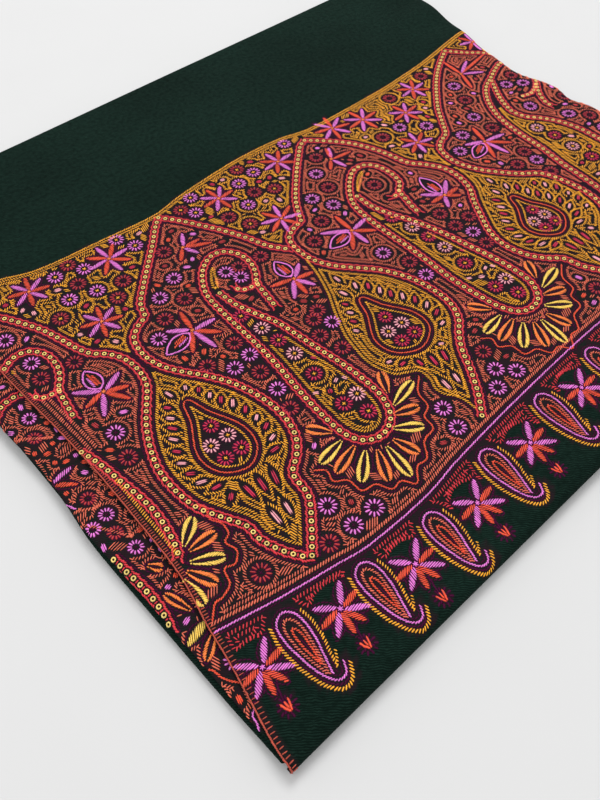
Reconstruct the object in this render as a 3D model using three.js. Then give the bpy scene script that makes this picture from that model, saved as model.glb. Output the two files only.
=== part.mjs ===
// An embroidered pashmina shawl, folded to a packet that lies flat.
// Millimetres, +Z up. U runs along the front fold, from the selvage side on the left to the fold on
// the right, and V runs from the front fold to the back fold. Z = 0 is the surface it lies on.
import * as THREE from "three";

// Driving sizes
const PACKET_DEPTH = 462; // along V, from the front fold to the back fold
const PLAIN_CLOTH = 1.0; // thickness of the bare twill
const WORKED_CLOTH = 1.5; // thickness of the cloth with its embroidery
const AIR = 0.3; // between one leaf and the next
const CORE_TOP = 6.6; // height of the hidden layers

// Middles of the leaves' flat stretches, stacked from the core up
const THIRD_LEVEL = CORE_TOP + AIR + PLAIN_CLOTH / 2;
const SECOND_LEVEL = THIRD_LEVEL + PLAIN_CLOTH / 2 + AIR + WORKED_CLOTH / 2;
const TOP_LEVEL = SECOND_LEVEL + WORKED_CLOTH + AIR;

// The front and back folds are nested half rings round one axis: the top leaf's ring, less a depth.
const FOLD_REACH = 6;
const FOLD_DROP = 5.3;
const FOLD_TURN = THREE.MathUtils.degToRad(147);

// Selvage of the top leaf: how far it lies in from the left side
const SELVAGE = [
  { v: 0, u: 0.8 },
  { v: 15, u: 2.9 },
  { v: 30, u: 6.2 },
  { v: 45, u: 9.6 },
  { v: 59, u: 12.3 },
  { v: 73, u: 14.6 },
  { v: 89, u: 18.2 },
  { v: 103, u: 20.8 },
  { v: 126, u: 22.4 },
  { v: 190, u: 24.6 },
  { v: 272, u: 22.8 },
  { v: 380, u: 24.5 },
  { v: PACKET_DEPTH, u: 22.5 },
];

// Outline of the right fold
const RIGHT_FOLD = [
  { v: 0, u: 497.5 }, // about half the cloth's width of 1 m
  { v: 45, u: 499.5 },
  { v: 90, u: 497.8 },
  { v: 135, u: 500.8 },
  { v: 175, u: 499.2 },
  { v: 200, u: 501.8 },
  { v: 217, u: 499.8 },
  { v: 230, u: 503.2 },
  { v: 257, u: 500 },
  { v: 277, u: 498.9 },
  { v: 288, u: 500.4 },
  { v: 316, u: 508 },
  { v: 345, u: 516 },
  { v: 376, u: 524.8 },
  { v: 410, u: 533 },
  { v: 440, u: 538 },
  { v: PACKET_DEPTH, u: 540 },
];

// Left folds of the second and the third leaf
const SECOND_FOLD = [
  { v: 0, u: 1.6 },
  { v: 60, u: 1.7 },
  { v: 110, u: 1.5 },
  { v: 150, u: 0.4 },
  { v: 175, u: 2.2 },
  { v: 200, u: 3.9 },
  { v: 233, u: 2.4 },
  { v: 290, u: 3.4 },
  { v: 350, u: 2.0 },
  { v: PACKET_DEPTH, u: 2.6 },
];
const THIRD_FOLD = [
  { v: 0, u: 0.9 },
  { v: 40, u: 0.4 },
  { v: 100, u: 0.1 },
  { v: 150, u: 0.3 },
  { v: 185, u: 3.6 },
  { v: 300, u: 4.2 },
  { v: 400, u: 2.4 },
  { v: PACKET_DEPTH, u: 2.6 },
];

const { smoothstep, clamp, lerp } = THREE.MathUtils;

// A smooth line through the rows of a table, from its v to its u.
function along(table, v) {
  const last = table.length - 1;
  const at = clamp(v, table[0].v, table[last].v);
  let i = 0;
  while (i < last - 1 && at > table[i + 1].v) i++;
  const rows = [i - 1, i, i + 1, i + 2].map((k) => table[clamp(k, 0, last)]);
  const slope = (a, b) => (b.v > a.v ? (b.u - a.u) / (b.v - a.v) : 0);
  const span = rows[2].v - rows[1].v;
  const t = (at - rows[1].v) / span;
  const into = slope(rows[0], rows[2]) * span;
  const out = slope(rows[1], rows[3]) * span;
  const h00 = (1 + 2 * t) * (1 - t) ** 2;
  const h10 = t * (1 - t) ** 2;
  const h01 = t ** 2 * (3 - 2 * t);
  const h11 = t ** 2 * (t - 1);
  return h00 * rows[1].u + h10 * into + h01 * rows[2].u + h11 * out;
}

const selvage = (v) => along(SELVAGE, v);
const rightFold = (v) => along(RIGHT_FOLD, v);
const secondFold = (v) => along(SECOND_FOLD, v);
const thirdFold = (v) => along(THIRD_FOLD, v);

// How far the top leaf stands above its level: soft swells, the lifted selvage and the ripples
// by the right fold.
function topRise(u, v) {
  const swell = 0.3 * (1 + Math.sin(u / 41 + 1) * Math.sin(v / 53 + 0.5));
  const lifted = smoothstep(v, 50, 95) * (1 - smoothstep(v, 200, 300));
  const lift = 1.7 * lifted * (1 - smoothstep(u - selvage(v), 4, 55));
  const nearFold = smoothstep(u, rightFold(v) - 75, rightFold(v) - 8);
  const ripple = 0.75 * nearFold * (1 + Math.sin(v / 7.6 + 1.2));
  return swell + lift + ripple;
}

// The second leaf swells to a soft crest beside its left fold.
function secondRise(u, v) {
  const full = smoothstep(v, 45, 110) * (1.3 + 0.25 * Math.sin(v / 17));
  return full * (1 - smoothstep(u, 8, 17));
}

// The leaves. edge is the outline of the middle of the cloth on that side. A side that has a turn rolls
// over there, by reach in plan and by fall in height, and a side that has none is a plain cut end.
const halfWorked = WORKED_CLOTH / 2;
const halfPlain = PLAIN_CLOTH / 2;

// A leaf's ring round the fold axis in front or at the back. depth is how far it lies inside the top leaf.
function nestedFold(depth, edge, inward) {
  return {
    edge: () => edge + inward * (halfWorked + depth),
    reach: FOLD_REACH - depth,
    fall: () => FOLD_DROP - depth,
    turn: FOLD_TURN,
  };
}

const LEAVES = {
  top_leaf: {
    level: TOP_LEVEL,
    thickness: WORKED_CLOTH,
    rise: topRise,
    colour: 0x8a3d34,
    steps: { left: 0, across: 24, right: 6, front: 6, along: 28, back: 6 },
    left: { edge: selvage, turn: 0 },
    right: {
      edge: (v) => rightFold(v) - halfWorked,
      reach: 9,
      fall: () => 3.1,
      turn: THREE.MathUtils.degToRad(160),
    },
    front: nestedFold(0, 0, 1),
    back: nestedFold(0, PACKET_DEPTH, -1),
  },
  second_leaf: {
    level: SECOND_LEVEL,
    thickness: WORKED_CLOTH,
    rise: secondRise,
    colour: 0x7a342f,
    steps: { left: 5, across: 9, right: 0, front: 6, along: 20, back: 6 },
    crowd: 3,
    left: {
      edge: (v) => secondFold(v) + halfWorked,
      reach: 5,
      fall: (v) => (0.9 + secondRise(0, v)) / (1 - Math.cos(THREE.MathUtils.degToRad(110))),
      turn: THREE.MathUtils.degToRad(110),
    },
    right: { edge: (v) => rightFold(v) - 14, turn: 0 },
    front: nestedFold(TOP_LEVEL - SECOND_LEVEL, 0, 1),
    back: nestedFold(TOP_LEVEL - SECOND_LEVEL, PACKET_DEPTH, -1),
  },
  third_leaf: {
    level: THIRD_LEVEL,
    thickness: PLAIN_CLOTH,
    rise: () => 0,
    colour: 0x182d26,
    steps: { left: 5, across: 7, right: 0, front: 6, along: 20, back: 6 },
    crowd: 2.5,
    left: {
      edge: (v) => thirdFold(v) + halfPlain,
      reach: 9,
      fall: (v) => lerp(1.9, 4.2, smoothstep(Math.min(v, PACKET_DEPTH - v), 8, 45)),
      turn: THREE.MathUtils.degToRad(100),
    },
    right: { edge: (v) => rightFold(v) - 17, turn: 0 },
    front: nestedFold(TOP_LEVEL - THIRD_LEVEL + 3 * AIR, 0, 1),
    back: nestedFold(TOP_LEVEL - THIRD_LEVEL + 3 * AIR, PACKET_DEPTH, -1),
  },
};

// Steps of a leaf in one direction: how far each is into the low side's roll, between the rolls, and into
// the high side's roll. crowd above 1 sets the flat steps closer at the low end.
function stepsAlong(low, flat, high, crowd = 1) {
  const steps = [];
  for (let i = low; i > 0; i--) steps.push({ roll: -i / low, between: 0 });
  for (let i = 0; i <= flat; i++) steps.push({ roll: 0, between: (i / flat) ** crowd });
  for (let i = 1; i <= high; i++) steps.push({ roll: i / high, between: 1 });
  return steps;
}

// The point of a leaf's middle surface at one step across and one along.
function leafPoint(leaf, across, along) {
  const reachOf = (side) => (side.turn ? side.reach : 0);
  const v = lerp(
    leaf.front.edge() + reachOf(leaf.front),
    leaf.back.edge() - reachOf(leaf.back),
    along.between,
  );
  const low = leaf.left.edge(v) + reachOf(leaf.left);
  const high = leaf.right.edge(v) - reachOf(leaf.right);
  const u = lerp(low, high, across.between);
  const z = leaf.level + leaf.rise(u, v);
  const far = Math.max(Math.abs(across.roll), Math.abs(along.roll));
  if (far === 0) return new THREE.Vector3(u, v, z);

  const length = Math.hypot(across.roll, along.roll);
  const du = across.roll / length;
  const dv = along.roll / length;
  const sideU = across.roll < 0 ? leaf.left : leaf.right;
  const sideV = along.roll < 0 ? leaf.front : leaf.back;
  const blend = (key) => (du ? du * du * key(sideU) : 0) + (dv ? dv * dv * key(sideV) : 0);
  const angle = far * blend((side) => side.turn);
  const fall = blend((side) => side.fall(v));
  // What the flat part rises by fades out round the front and back folds.
  const settle = leaf.rise(u, v) * smoothstep(far, 0, 1) * Math.abs(dv);
  return new THREE.Vector3(
    u + (du ? du * sideU.reach * Math.sin(angle) : 0),
    v + (dv ? dv * sideV.reach * Math.sin(angle) : 0),
    z - settle - fall * (1 - Math.cos(angle)),
  );
}

// Triangles of a grid of points, rows by columns, facing up, or down if turned.
function gridFaces(rows, columns, first, turned) {
  const faces = [];
  for (let i = 0; i + 1 < rows; i++)
    for (let j = 0; j + 1 < columns; j++) {
      const a = first + i * columns + j;
      const corners = [a, a + columns, a + columns + 1, a + 1];
      if (turned) corners.reverse();
      faces.push(corners[0], corners[1], corners[2], corners[0], corners[2], corners[3]);
    }
  return faces;
}

// Triangles of the rim that joins the upper grid of a wall to its lower grid.
function rimFaces(rows, columns) {
  const rim = [];
  for (let i = 0; i < rows - 1; i++) rim.push(i * columns);
  for (let j = 0; j < columns - 1; j++) rim.push((rows - 1) * columns + j);
  for (let i = rows - 1; i > 0; i--) rim.push(i * columns + columns - 1);
  for (let j = columns - 1; j > 0; j--) rim.push(j);
  const under = rows * columns;
  return rim.flatMap((a, i) => {
    const b = rim[(i + 1) % rim.length];
    return [a, a + under, b + under, a, b + under, b];
  });
}

function meshOf(name, points, faces, colour) {
  const geometry = new THREE.BufferGeometry().setFromPoints(points);
  geometry.setIndex(faces);
  geometry.computeVertexNormals();
  const material = new THREE.MeshStandardMaterial({ color: colour, roughness: 0.9, metalness: 0 });
  const mesh = new THREE.Mesh(geometry, material);
  mesh.name = name;
  return mesh;
}

// A leaf of cloth: its middle surface, moved out by half the cloth's thickness on each side.
function leafWall(name, leaf) {
  const across = stepsAlong(leaf.steps.left, leaf.steps.across, leaf.steps.right, leaf.crowd);
  const lengthwise = stepsAlong(leaf.steps.front, leaf.steps.along, leaf.steps.back);
  const middle = across.map((a) => lengthwise.map((b) => leafPoint(leaf, a, b)));
  const at = (i, j) =>
    middle[clamp(i, 0, across.length - 1)][clamp(j, 0, lengthwise.length - 1)];
  const upper = [];
  const lower = [];
  middle.forEach((row, i) =>
    row.forEach((point, j) => {
      const alongU = at(i + 1, j).clone().sub(at(i - 1, j));
      const alongV = at(i, j + 1).clone().sub(at(i, j - 1));
      const out = alongU.cross(alongV).setLength(leaf.thickness / 2);
      upper.push(point.clone().add(out));
      lower.push(point.clone().sub(out));
    }),
  );
  const faces = [
    ...gridFaces(across.length, lengthwise.length, 0, false),
    ...gridFaces(across.length, lengthwise.length, upper.length, true),
    ...rimFaces(across.length, lengthwise.length),
  ];
  return meshOf(name, [...upper, ...lower], faces, leaf.colour);
}

// The hidden layers: one solid with a flat underside. Its left and right sides show as stacked folds.
const CORE = {
  colour: 0x14261f,
  frontGap: 5.4, // from the outline of the packet in to the core
  leftGap: 1.8,
  rightGap: 2.4,
  corner: 7, // radius in plan
  layers: 3, // folds, one above another; the lower two show on the right
  groove: 1.5, // depth of the grooves between them
  leftShoulder: 5.5, // how far the upper edge slopes in under the third leaf
  rightShoulder: 11, // and how far the uppermost layer stands in under the top leaf's fold
  levelsPerLayer: 4,
  sideSteps: 22,
  cornerSteps: 3,
};

// Plan outline of the core, anticlockwise, with how far each point faces left or right.
function coreOutline() {
  const front = CORE.frontGap;
  const back = PACKET_DEPTH - CORE.frontGap;
  const left = (v) => Math.max(thirdFold(v), 1) + CORE.leftGap;
  const right = (v) => rightFold(v) - CORE.rightGap;
  const outline = [];
  const corner = (cu, cv, start) => {
    for (let i = 0; i <= CORE.cornerSteps; i++) {
      const angle = start + (i / CORE.cornerSteps) * (Math.PI / 2);
      const sideways = Math.cos(angle);
      outline.push({
        u: cu + CORE.corner * sideways,
        v: cv + CORE.corner * Math.sin(angle),
        sideways,
        lengthways: Math.sin(angle),
      });
    }
  };
  const side = (edge, from, to, sideways) => {
    for (let i = 1; i < CORE.sideSteps; i++) {
      const v = lerp(from, to, i / CORE.sideSteps);
      outline.push({ u: edge(v), v, sideways, lengthways: 0 });
    }
  };
  const r = CORE.corner;
  corner(right(front + r) - r, front + r, -Math.PI / 2);
  side(right, front + r, back - r, 1);
  corner(right(back - r) - r, back - r, 0);
  corner(left(back - r) + r, back - r, Math.PI / 2);
  side(left, back - r, front + r, -1);
  corner(left(front + r) + r, front + r, Math.PI);
  return outline;
}

// How far the core's side stands in from its outline at a height: soft folds, one above another, where
// it shows, and a rounded upper edge under the leaves.
function coreInset(z, sideways) {
  const within = (z / CORE_TOP) * CORE.layers;
  const fold = 2 * (within - Math.floor(Math.min(within, CORE.layers - 1e-6))) - 1;
  const grooves = CORE.groove * (1 - Math.sqrt(Math.max(0, 1 - fold ** 2)));
  const shoulder = 2.5 * smoothstep(z, CORE_TOP * 0.5, CORE_TOP);
  const under = (2 / 3) * CORE_TOP;
  const sideShoulder =
    sideways < 0
      ? CORE.leftShoulder * smoothstep(z, CORE_TOP * 0.15, CORE_TOP)
      : CORE.rightShoulder * smoothstep(z, 0.8 * under, 0.95 * under);
  return Math.abs(sideways) * (grooves + sideShoulder) + shoulder * (1 - Math.abs(sideways));
}

function foldedCore() {
  const outline = coreOutline();
  const levels = CORE.layers * CORE.levelsPerLayer;
  const points = [];
  for (let k = 0; k <= levels; k++) {
    const z = (k / levels) * CORE_TOP;
    outline.forEach((p) => {
      const inset = coreInset(z, p.sideways);
      points.push(new THREE.Vector3(p.u - inset * p.sideways, p.v - inset * p.lengthways, z));
    });
  }
  const count = outline.length;
  const faces = [];
  for (let k = 0; k < levels; k++)
    for (let i = 0; i < count; i++) {
      const a = k * count + i;
      const b = k * count + ((i + 1) % count);
      faces.push(a, b, b + count, a, b + count, a + count);
    }
  const capOf = (k) => {
    const ring = points.slice(k * count, (k + 1) * count).map((p) => new THREE.Vector2(p.x, p.y));
    return THREE.ShapeUtils.triangulateShape(ring, []).map((face) => face.map((i) => i + k * count));
  };
  capOf(0).forEach(([a, b, c]) => faces.push(a, c, b));
  capOf(levels).forEach(([a, b, c]) => faces.push(a, b, c));
  return meshOf("folded_core", points, faces, CORE.colour);
}

// The whole packet, with its origin under the middle of it, where it rests.
const packet = new THREE.Group();
packet.add(foldedCore());
for (const [name, leaf] of Object.entries(LEAVES)) packet.add(leafWall(name, leaf));
const extent = new THREE.Box3().setFromObject(packet);
const middle = extent.getCenter(new THREE.Vector3());
packet.position.set(-middle.x, -middle.y, -extent.min.z);

const shawl = new THREE.Group();
shawl.add(packet);

export default shawl;
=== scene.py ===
"""An embroidered pashmina shawl, folded to a packet: dark green twill with a needle-worked paisley border.

Sizes are in millimetres on the cloth: u runs along the front fold from the selvage, v from the front fold
to the back. A point keeps its u and v as the cloth rolls over, counted along the cloth.
"""
import math

import bpy
import numpy as np
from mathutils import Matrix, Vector


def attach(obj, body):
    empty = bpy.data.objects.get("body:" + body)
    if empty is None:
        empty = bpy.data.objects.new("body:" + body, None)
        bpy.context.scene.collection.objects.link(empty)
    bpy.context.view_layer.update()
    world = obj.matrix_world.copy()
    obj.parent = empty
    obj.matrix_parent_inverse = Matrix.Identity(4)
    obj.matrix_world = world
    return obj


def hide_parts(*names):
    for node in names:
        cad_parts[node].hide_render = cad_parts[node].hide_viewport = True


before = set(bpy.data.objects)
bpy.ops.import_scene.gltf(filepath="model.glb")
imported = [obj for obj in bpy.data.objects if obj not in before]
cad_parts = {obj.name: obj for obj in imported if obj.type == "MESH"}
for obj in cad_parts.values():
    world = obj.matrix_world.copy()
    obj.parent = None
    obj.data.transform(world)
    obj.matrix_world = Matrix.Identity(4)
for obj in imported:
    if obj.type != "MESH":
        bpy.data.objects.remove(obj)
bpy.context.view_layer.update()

# ----------------------------------------------------------
# The folded cloth
# ----------------------------------------------------------

PACKET_DEPTH = 462.0
PACKET_MIDDLE = (269.6707, 230.9991)  # u and v of the frame's origin
PLAIN_CLOTH = 1.0  # thickness of the bare twill
WORKED_CLOTH = 1.5  # thickness of the cloth with its embroidery
AIR = 0.3  # between one leaf and the next
CORE_TOP = 6.6  # height of the hidden layers

THIRD_LEVEL = CORE_TOP + AIR + PLAIN_CLOTH / 2
SECOND_LEVEL = THIRD_LEVEL + PLAIN_CLOTH / 2 + AIR + WORKED_CLOTH / 2
TOP_LEVEL = SECOND_LEVEL + WORKED_CLOTH + AIR

# Rolls of the cloth: how far out they reach, how far down they are at a quarter turn, and their whole turn
FOLD_REACH = 6.0
FOLD_DROP = 5.3
FOLD_TURN = math.radians(147)
RIGHT_REACH, RIGHT_DROP, RIGHT_TURN = 9, 3.1, math.radians(160)
SECOND_REACH, SECOND_DROP, SECOND_TURN = 5, 1.6, math.radians(110)
THIRD_REACH, THIRD_DROP, THIRD_TURN = 9, 4.0, math.radians(100)
ROLL_STEPS = 32  # in which a roll's length is worked out

SECOND_UNDER = 0.9  # the second leaf's roll ends so far under its level
THIRD_LEAST_FALL, THIRD_MOST_FALL = 1.9, 4.2  # by the corners, and between them
SECOND_END, THIRD_END = 14, 17  # the lower leaves end so far inside the right fold

SWELL = 0.3  # height of the soft swells
SELVAGE_LIFT = 1.7
RIPPLE = 0.75  # height of the ripples by the right fold
CORNER_DIP = 0.9  # of the near corner
SECOND_CREST, SECOND_WAVER = 1.3, 0.25  # height of the second leaf's crest, and how much it wavers

# Outlines of the leaves' sides: v along the side, and u there
SELVAGE = [
    (0, 0.8), (15, 2.9), (30, 6.2), (45, 9.6), (59, 12.3), (73, 14.6), (89, 18.2), (103, 20.8),
    (126, 22.4), (190, 24.6), (272, 22.8), (380, 24.5), (PACKET_DEPTH, 22.5),
]
RIGHT_FOLD = [
    (0, 497.5), (45, 499.5), (90, 497.8), (135, 500.8), (175, 499.2), (200, 501.8), (217, 499.8),
    (230, 503.2), (257, 500), (277, 498.9), (288, 500.4), (316, 508), (345, 516), (376, 524.8),
    (410, 533), (440, 538), (PACKET_DEPTH, 540),
]
SECOND_FOLD = [
    (0, 1.6), (60, 1.7), (110, 1.5), (150, 0.4), (175, 2.2), (200, 3.9), (233, 2.4), (290, 3.4),
    (350, 2.0), (PACKET_DEPTH, 2.6),
]
THIRD_FOLD = [
    (0, 0.9), (40, 0.4), (100, 0.1), (150, 0.3), (185, 3.6), (300, 4.2), (400, 2.4),
    (PACKET_DEPTH, 2.6),
]


def smoothstep(x, low, high):
    t = np.clip((x - low) / (high - low), 0, 1)
    return t * t * (3 - 2 * t)


def side_line(table):
    """A smooth line through the rows (v, u) of a side's outline, as a function of v."""
    rows = np.array(table, float)
    last = len(rows) - 1

    def slope(a, b):
        run = rows[b, 0] - rows[a, 0]
        return np.where(run > 0, (rows[b, 1] - rows[a, 1]) / np.where(run > 0, run, 1), 0)

    def line(v):
        at = np.clip(v, rows[0, 0], rows[-1, 0])
        i = np.clip(np.searchsorted(rows[:, 0], at) - 1, 0, last - 1)
        span = rows[i + 1, 0] - rows[i, 0]
        t = (at - rows[i, 0]) / span
        into = slope(np.maximum(i - 1, 0), i + 1) * span
        out = slope(i, np.minimum(i + 2, last)) * span
        start = (1 + 2 * t) * (1 - t) ** 2 * rows[i, 1] + t * (1 - t) ** 2 * into
        return start + t**2 * (3 - 2 * t) * rows[i + 1, 1] + t**2 * (t - 1) * out

    return line


selvage = side_line(SELVAGE)
right_fold = side_line(RIGHT_FOLD)
second_fold = side_line(SECOND_FOLD)
third_fold = side_line(THIRD_FOLD)


def top_rise(u, v):
    """Soft swells, the selvage lifted from v 50 to 300, and the ripples by the right fold."""
    swell = SWELL * (1 + np.sin(u / 41 + 1) * np.sin(v / 53 + 0.5))
    lifted = smoothstep(v, 50, 95) * (1 - smoothstep(v, 200, 300))
    lift = SELVAGE_LIFT * lifted * (1 - smoothstep(u - selvage(v), 4, 55))
    near_fold = smoothstep(u, right_fold(v) - 75, right_fold(v) - 8)
    ripple = RIPPLE * near_fold * (1 + np.sin(v / 7.6 + 1.2))
    corner = 1 - smoothstep(np.hypot(u - selvage(v), v), 3, 22)
    return swell + lift + ripple - CORNER_DIP * corner


def second_rise(u, v):
    """The second leaf swells to a soft crest beside its left fold."""
    full = smoothstep(v, 45, 110) * (SECOND_CREST + SECOND_WAVER * np.sin(v / 17))
    return full * (1 - smoothstep(u, 8, 17))


class Side:
    """One side of a leaf: a cut end, or a roll of the cloth that reaches out, turns and falls.

    fall may change along the side. usual_fall then stands for it in the roll's length.
    """

    def __init__(self, edge, reach=0.0, fall=0.0, turn=0.0, usual_fall=None):
        self.edge = edge
        self.reach = reach
        self.turn = turn
        self.fall = fall if callable(fall) else lambda v: fall
        drop = fall if usual_fall is None else usual_fall
        self.shares = np.linspace(0, 1, ROLL_STEPS + 1)
        angle = (self.shares[1:] - 0.5 / ROLL_STEPS) * turn
        run = np.hypot(reach * np.cos(angle), drop * np.sin(angle)) * turn / ROLL_STEPS
        self.lengths = np.concatenate([[0], np.cumsum(run)])
        self.length = self.lengths[-1]  # of cloth in the roll

    def share(self, past):
        """How far round the roll a point lies, 0 to 1, when it is so far past the flat part."""
        if not self.turn:
            return np.zeros_like(past)
        return np.interp(past, self.lengths, self.shares)


def nested_folds(depth):
    """A leaf's rings round the fold axes, in front and at the back, so deep inside the top leaf's."""
    def fold(edge, inward):
        line = edge + inward * (WORKED_CLOTH / 2 + depth)
        return Side(lambda v: line, FOLD_REACH - depth, FOLD_DROP - depth, FOLD_TURN)

    return {"front": fold(0, 1), "back": fold(PACKET_DEPTH, -1)}


class Leaf:
    """One leaf of the folded cloth."""

    def __init__(self, level, rise, left, right, front, back):
        self.level, self.rise = level, rise
        self.left, self.right, self.front, self.back = left, right, front, back
        self.v_low = front.edge(0) + front.reach
        self.v_high = back.edge(0) - back.reach

    def u_limits(self, v):
        """Where the flat part starts and ends, left and right."""
        return self.left.edge(v) + self.left.reach, self.right.edge(v) - self.right.reach

    def at(self, u, v):
        """Points of the middle of the cloth, in millimetres."""
        u, v = np.broadcast_arrays(np.asarray(u, float), np.asarray(v, float))
        flat_v = np.clip(v, self.v_low, self.v_high)
        low, high = self.u_limits(flat_v)
        flat_u = np.clip(u, low, high)
        across = self.right.share(u - flat_u) - self.left.share(flat_u - u)
        along = self.back.share(v - flat_v) - self.front.share(flat_v - v)
        far = np.maximum(np.abs(across), np.abs(along))
        length = np.hypot(across, along)
        length = np.where(length > 0, length, 1)
        du, dv = across / length, along / length
        on_left = across < 0
        turn = du**2 * np.where(on_left, self.left.turn, self.right.turn) + dv**2 * self.front.turn
        side_fall = np.where(on_left, self.left.fall(flat_v), self.right.fall(flat_v))
        fall = du**2 * side_fall + dv**2 * self.front.fall(0)
        angle = far * turn
        rise = self.rise(flat_u, flat_v)
        rise = rise - rise * smoothstep(far, 0, 1) * np.abs(dv)
        reach = np.where(on_left, self.left.reach, self.right.reach)
        return np.stack(
            [
                flat_u + du * reach * np.sin(angle),
                flat_v + dv * self.front.reach * np.sin(angle),
                self.level + rise - fall * (1 - np.cos(angle)),
            ],
            axis=-1,
        )

    def normal(self, u, v, step=0.3):
        """Which way the cloth faces."""
        across = self.at(u + step, v) - self.at(u - step, v)
        along = self.at(u, v + step) - self.at(u, v - step)
        out = np.cross(across, along)
        size = np.linalg.norm(out, axis=-1, keepdims=True)
        return out / np.where(size > 1e-9, size, 1)


def second_fall(v):
    """The second leaf's left fold falls from its crest to a little under its level."""
    return (SECOND_UNDER + second_rise(0, v)) / (1 - math.cos(SECOND_TURN))


def third_fall(v):
    """The third leaf's left fold is shallower by the corners."""
    more = THIRD_MOST_FALL - THIRD_LEAST_FALL
    return THIRD_LEAST_FALL + more * smoothstep(np.minimum(v, PACKET_DEPTH - v), 8, 45)


def folded_leaves():
    """The three leaves that show, from the top down."""
    half_worked, half_plain = WORKED_CLOTH / 2, PLAIN_CLOTH / 2
    top = Leaf(
        TOP_LEVEL, top_rise,
        left=Side(selvage),
        right=Side(lambda v: right_fold(v) - half_worked, RIGHT_REACH, RIGHT_DROP, RIGHT_TURN),
        **nested_folds(0),
    )
    depth = TOP_LEVEL - SECOND_LEVEL
    second = Leaf(
        SECOND_LEVEL, second_rise,
        left=Side(lambda v: second_fold(v) + half_worked, SECOND_REACH, second_fall, SECOND_TURN,
                  SECOND_DROP),
        right=Side(lambda v: right_fold(v) - SECOND_END),
        **nested_folds(depth),
    )
    depth = TOP_LEVEL - THIRD_LEVEL + 3 * AIR
    third = Leaf(
        THIRD_LEVEL, lambda u, v: 0.0 * u,
        left=Side(lambda v: third_fold(v) + half_plain, THIRD_REACH, third_fall, THIRD_TURN, THIRD_DROP),
        right=Side(lambda v: right_fold(v) - THIRD_END),
        **nested_folds(depth),
    )
    return top, second, third


TOP, SECOND, THIRD = folded_leaves()


def to_frame(points):
    """Millimetres on the packet to metres in the frame."""
    points = np.asarray(points, float).reshape(-1, 3)
    return (points - [PACKET_MIDDLE[0], PACKET_MIDDLE[1], 0]) / 1000


# ----------------------------------------------------------
# Meshes
# ----------------------------------------------------------

BAKE_MARGIN = 20  # on the map to bake on
BAKE_LEAF = 1010  # what that map spans for a leaf's two faces
BAKE_PLAN = 600  # and for a plan
UNDER_SHIFT = 40  # between the two faces of a leaf on its maps
UNDER_COVER = 0.6  # the underside shows so much of the stitches


def mesh_piece(name, points, faces, layers, material, values=None):
    """A piece from its points and faces.

    layers gives each UV map's places, by point or by face corner, and values each attribute's, by point.
    """
    points = np.asarray(points, np.float32)
    faces = np.asarray(faces, np.int32)
    sides = faces.shape[1]
    mesh = bpy.data.meshes.new(name)
    mesh.vertices.add(len(points))
    mesh.vertices.foreach_set("co", points.ravel())
    mesh.loops.add(faces.size)
    mesh.loops.foreach_set("vertex_index", faces.ravel())
    mesh.polygons.add(len(faces))
    mesh.polygons.foreach_set("loop_start", np.arange(0, faces.size, sides, dtype=np.int32))
    mesh.polygons.foreach_set("use_smooth", np.ones(len(faces), bool))
    for layer, places in layers.items():
        places = np.asarray(places, np.float32)
        if len(places) == len(points):
            places = places[faces.ravel()]
        uv = mesh.uv_layers.new(name=layer)
        uv.data.foreach_set("uv", places.ravel())
    for label, numbers in (values or {}).items():
        attribute = mesh.attributes.new(label, "FLOAT", "POINT")
        attribute.data.foreach_set("value", np.asarray(numbers, np.float32))
    mesh.update(calc_edges=True)
    mesh.validate()
    mesh.materials.append(material)
    piece = bpy.data.objects.new(name, mesh)
    bpy.context.scene.collection.objects.link(piece)
    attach(piece, "root")
    return piece


def grid_faces(rows, columns, first=0, flipped=False):
    """Four-sided faces of a grid of points."""
    i, j = np.meshgrid(np.arange(rows - 1), np.arange(columns - 1), indexing="ij")
    a = first + (i * columns + j).ravel()
    faces = np.stack([a, a + columns, a + columns + 1, a + 1], axis=1)
    return faces[:, ::-1] if flipped else faces


def rim_faces(rows, columns):
    """Faces that join the upper grid of a wall to its lower grid."""
    rim = np.concatenate([
        np.arange(rows - 1) * columns,
        (rows - 1) * columns + np.arange(columns - 1),
        np.arange(rows - 1, 0, -1) * columns + columns - 1,
        np.arange(columns - 1, 0, -1),
    ])
    after = np.roll(rim, -1)
    under = rows * columns
    return np.stack([rim, rim + under, after + under, after], axis=1)


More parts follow.
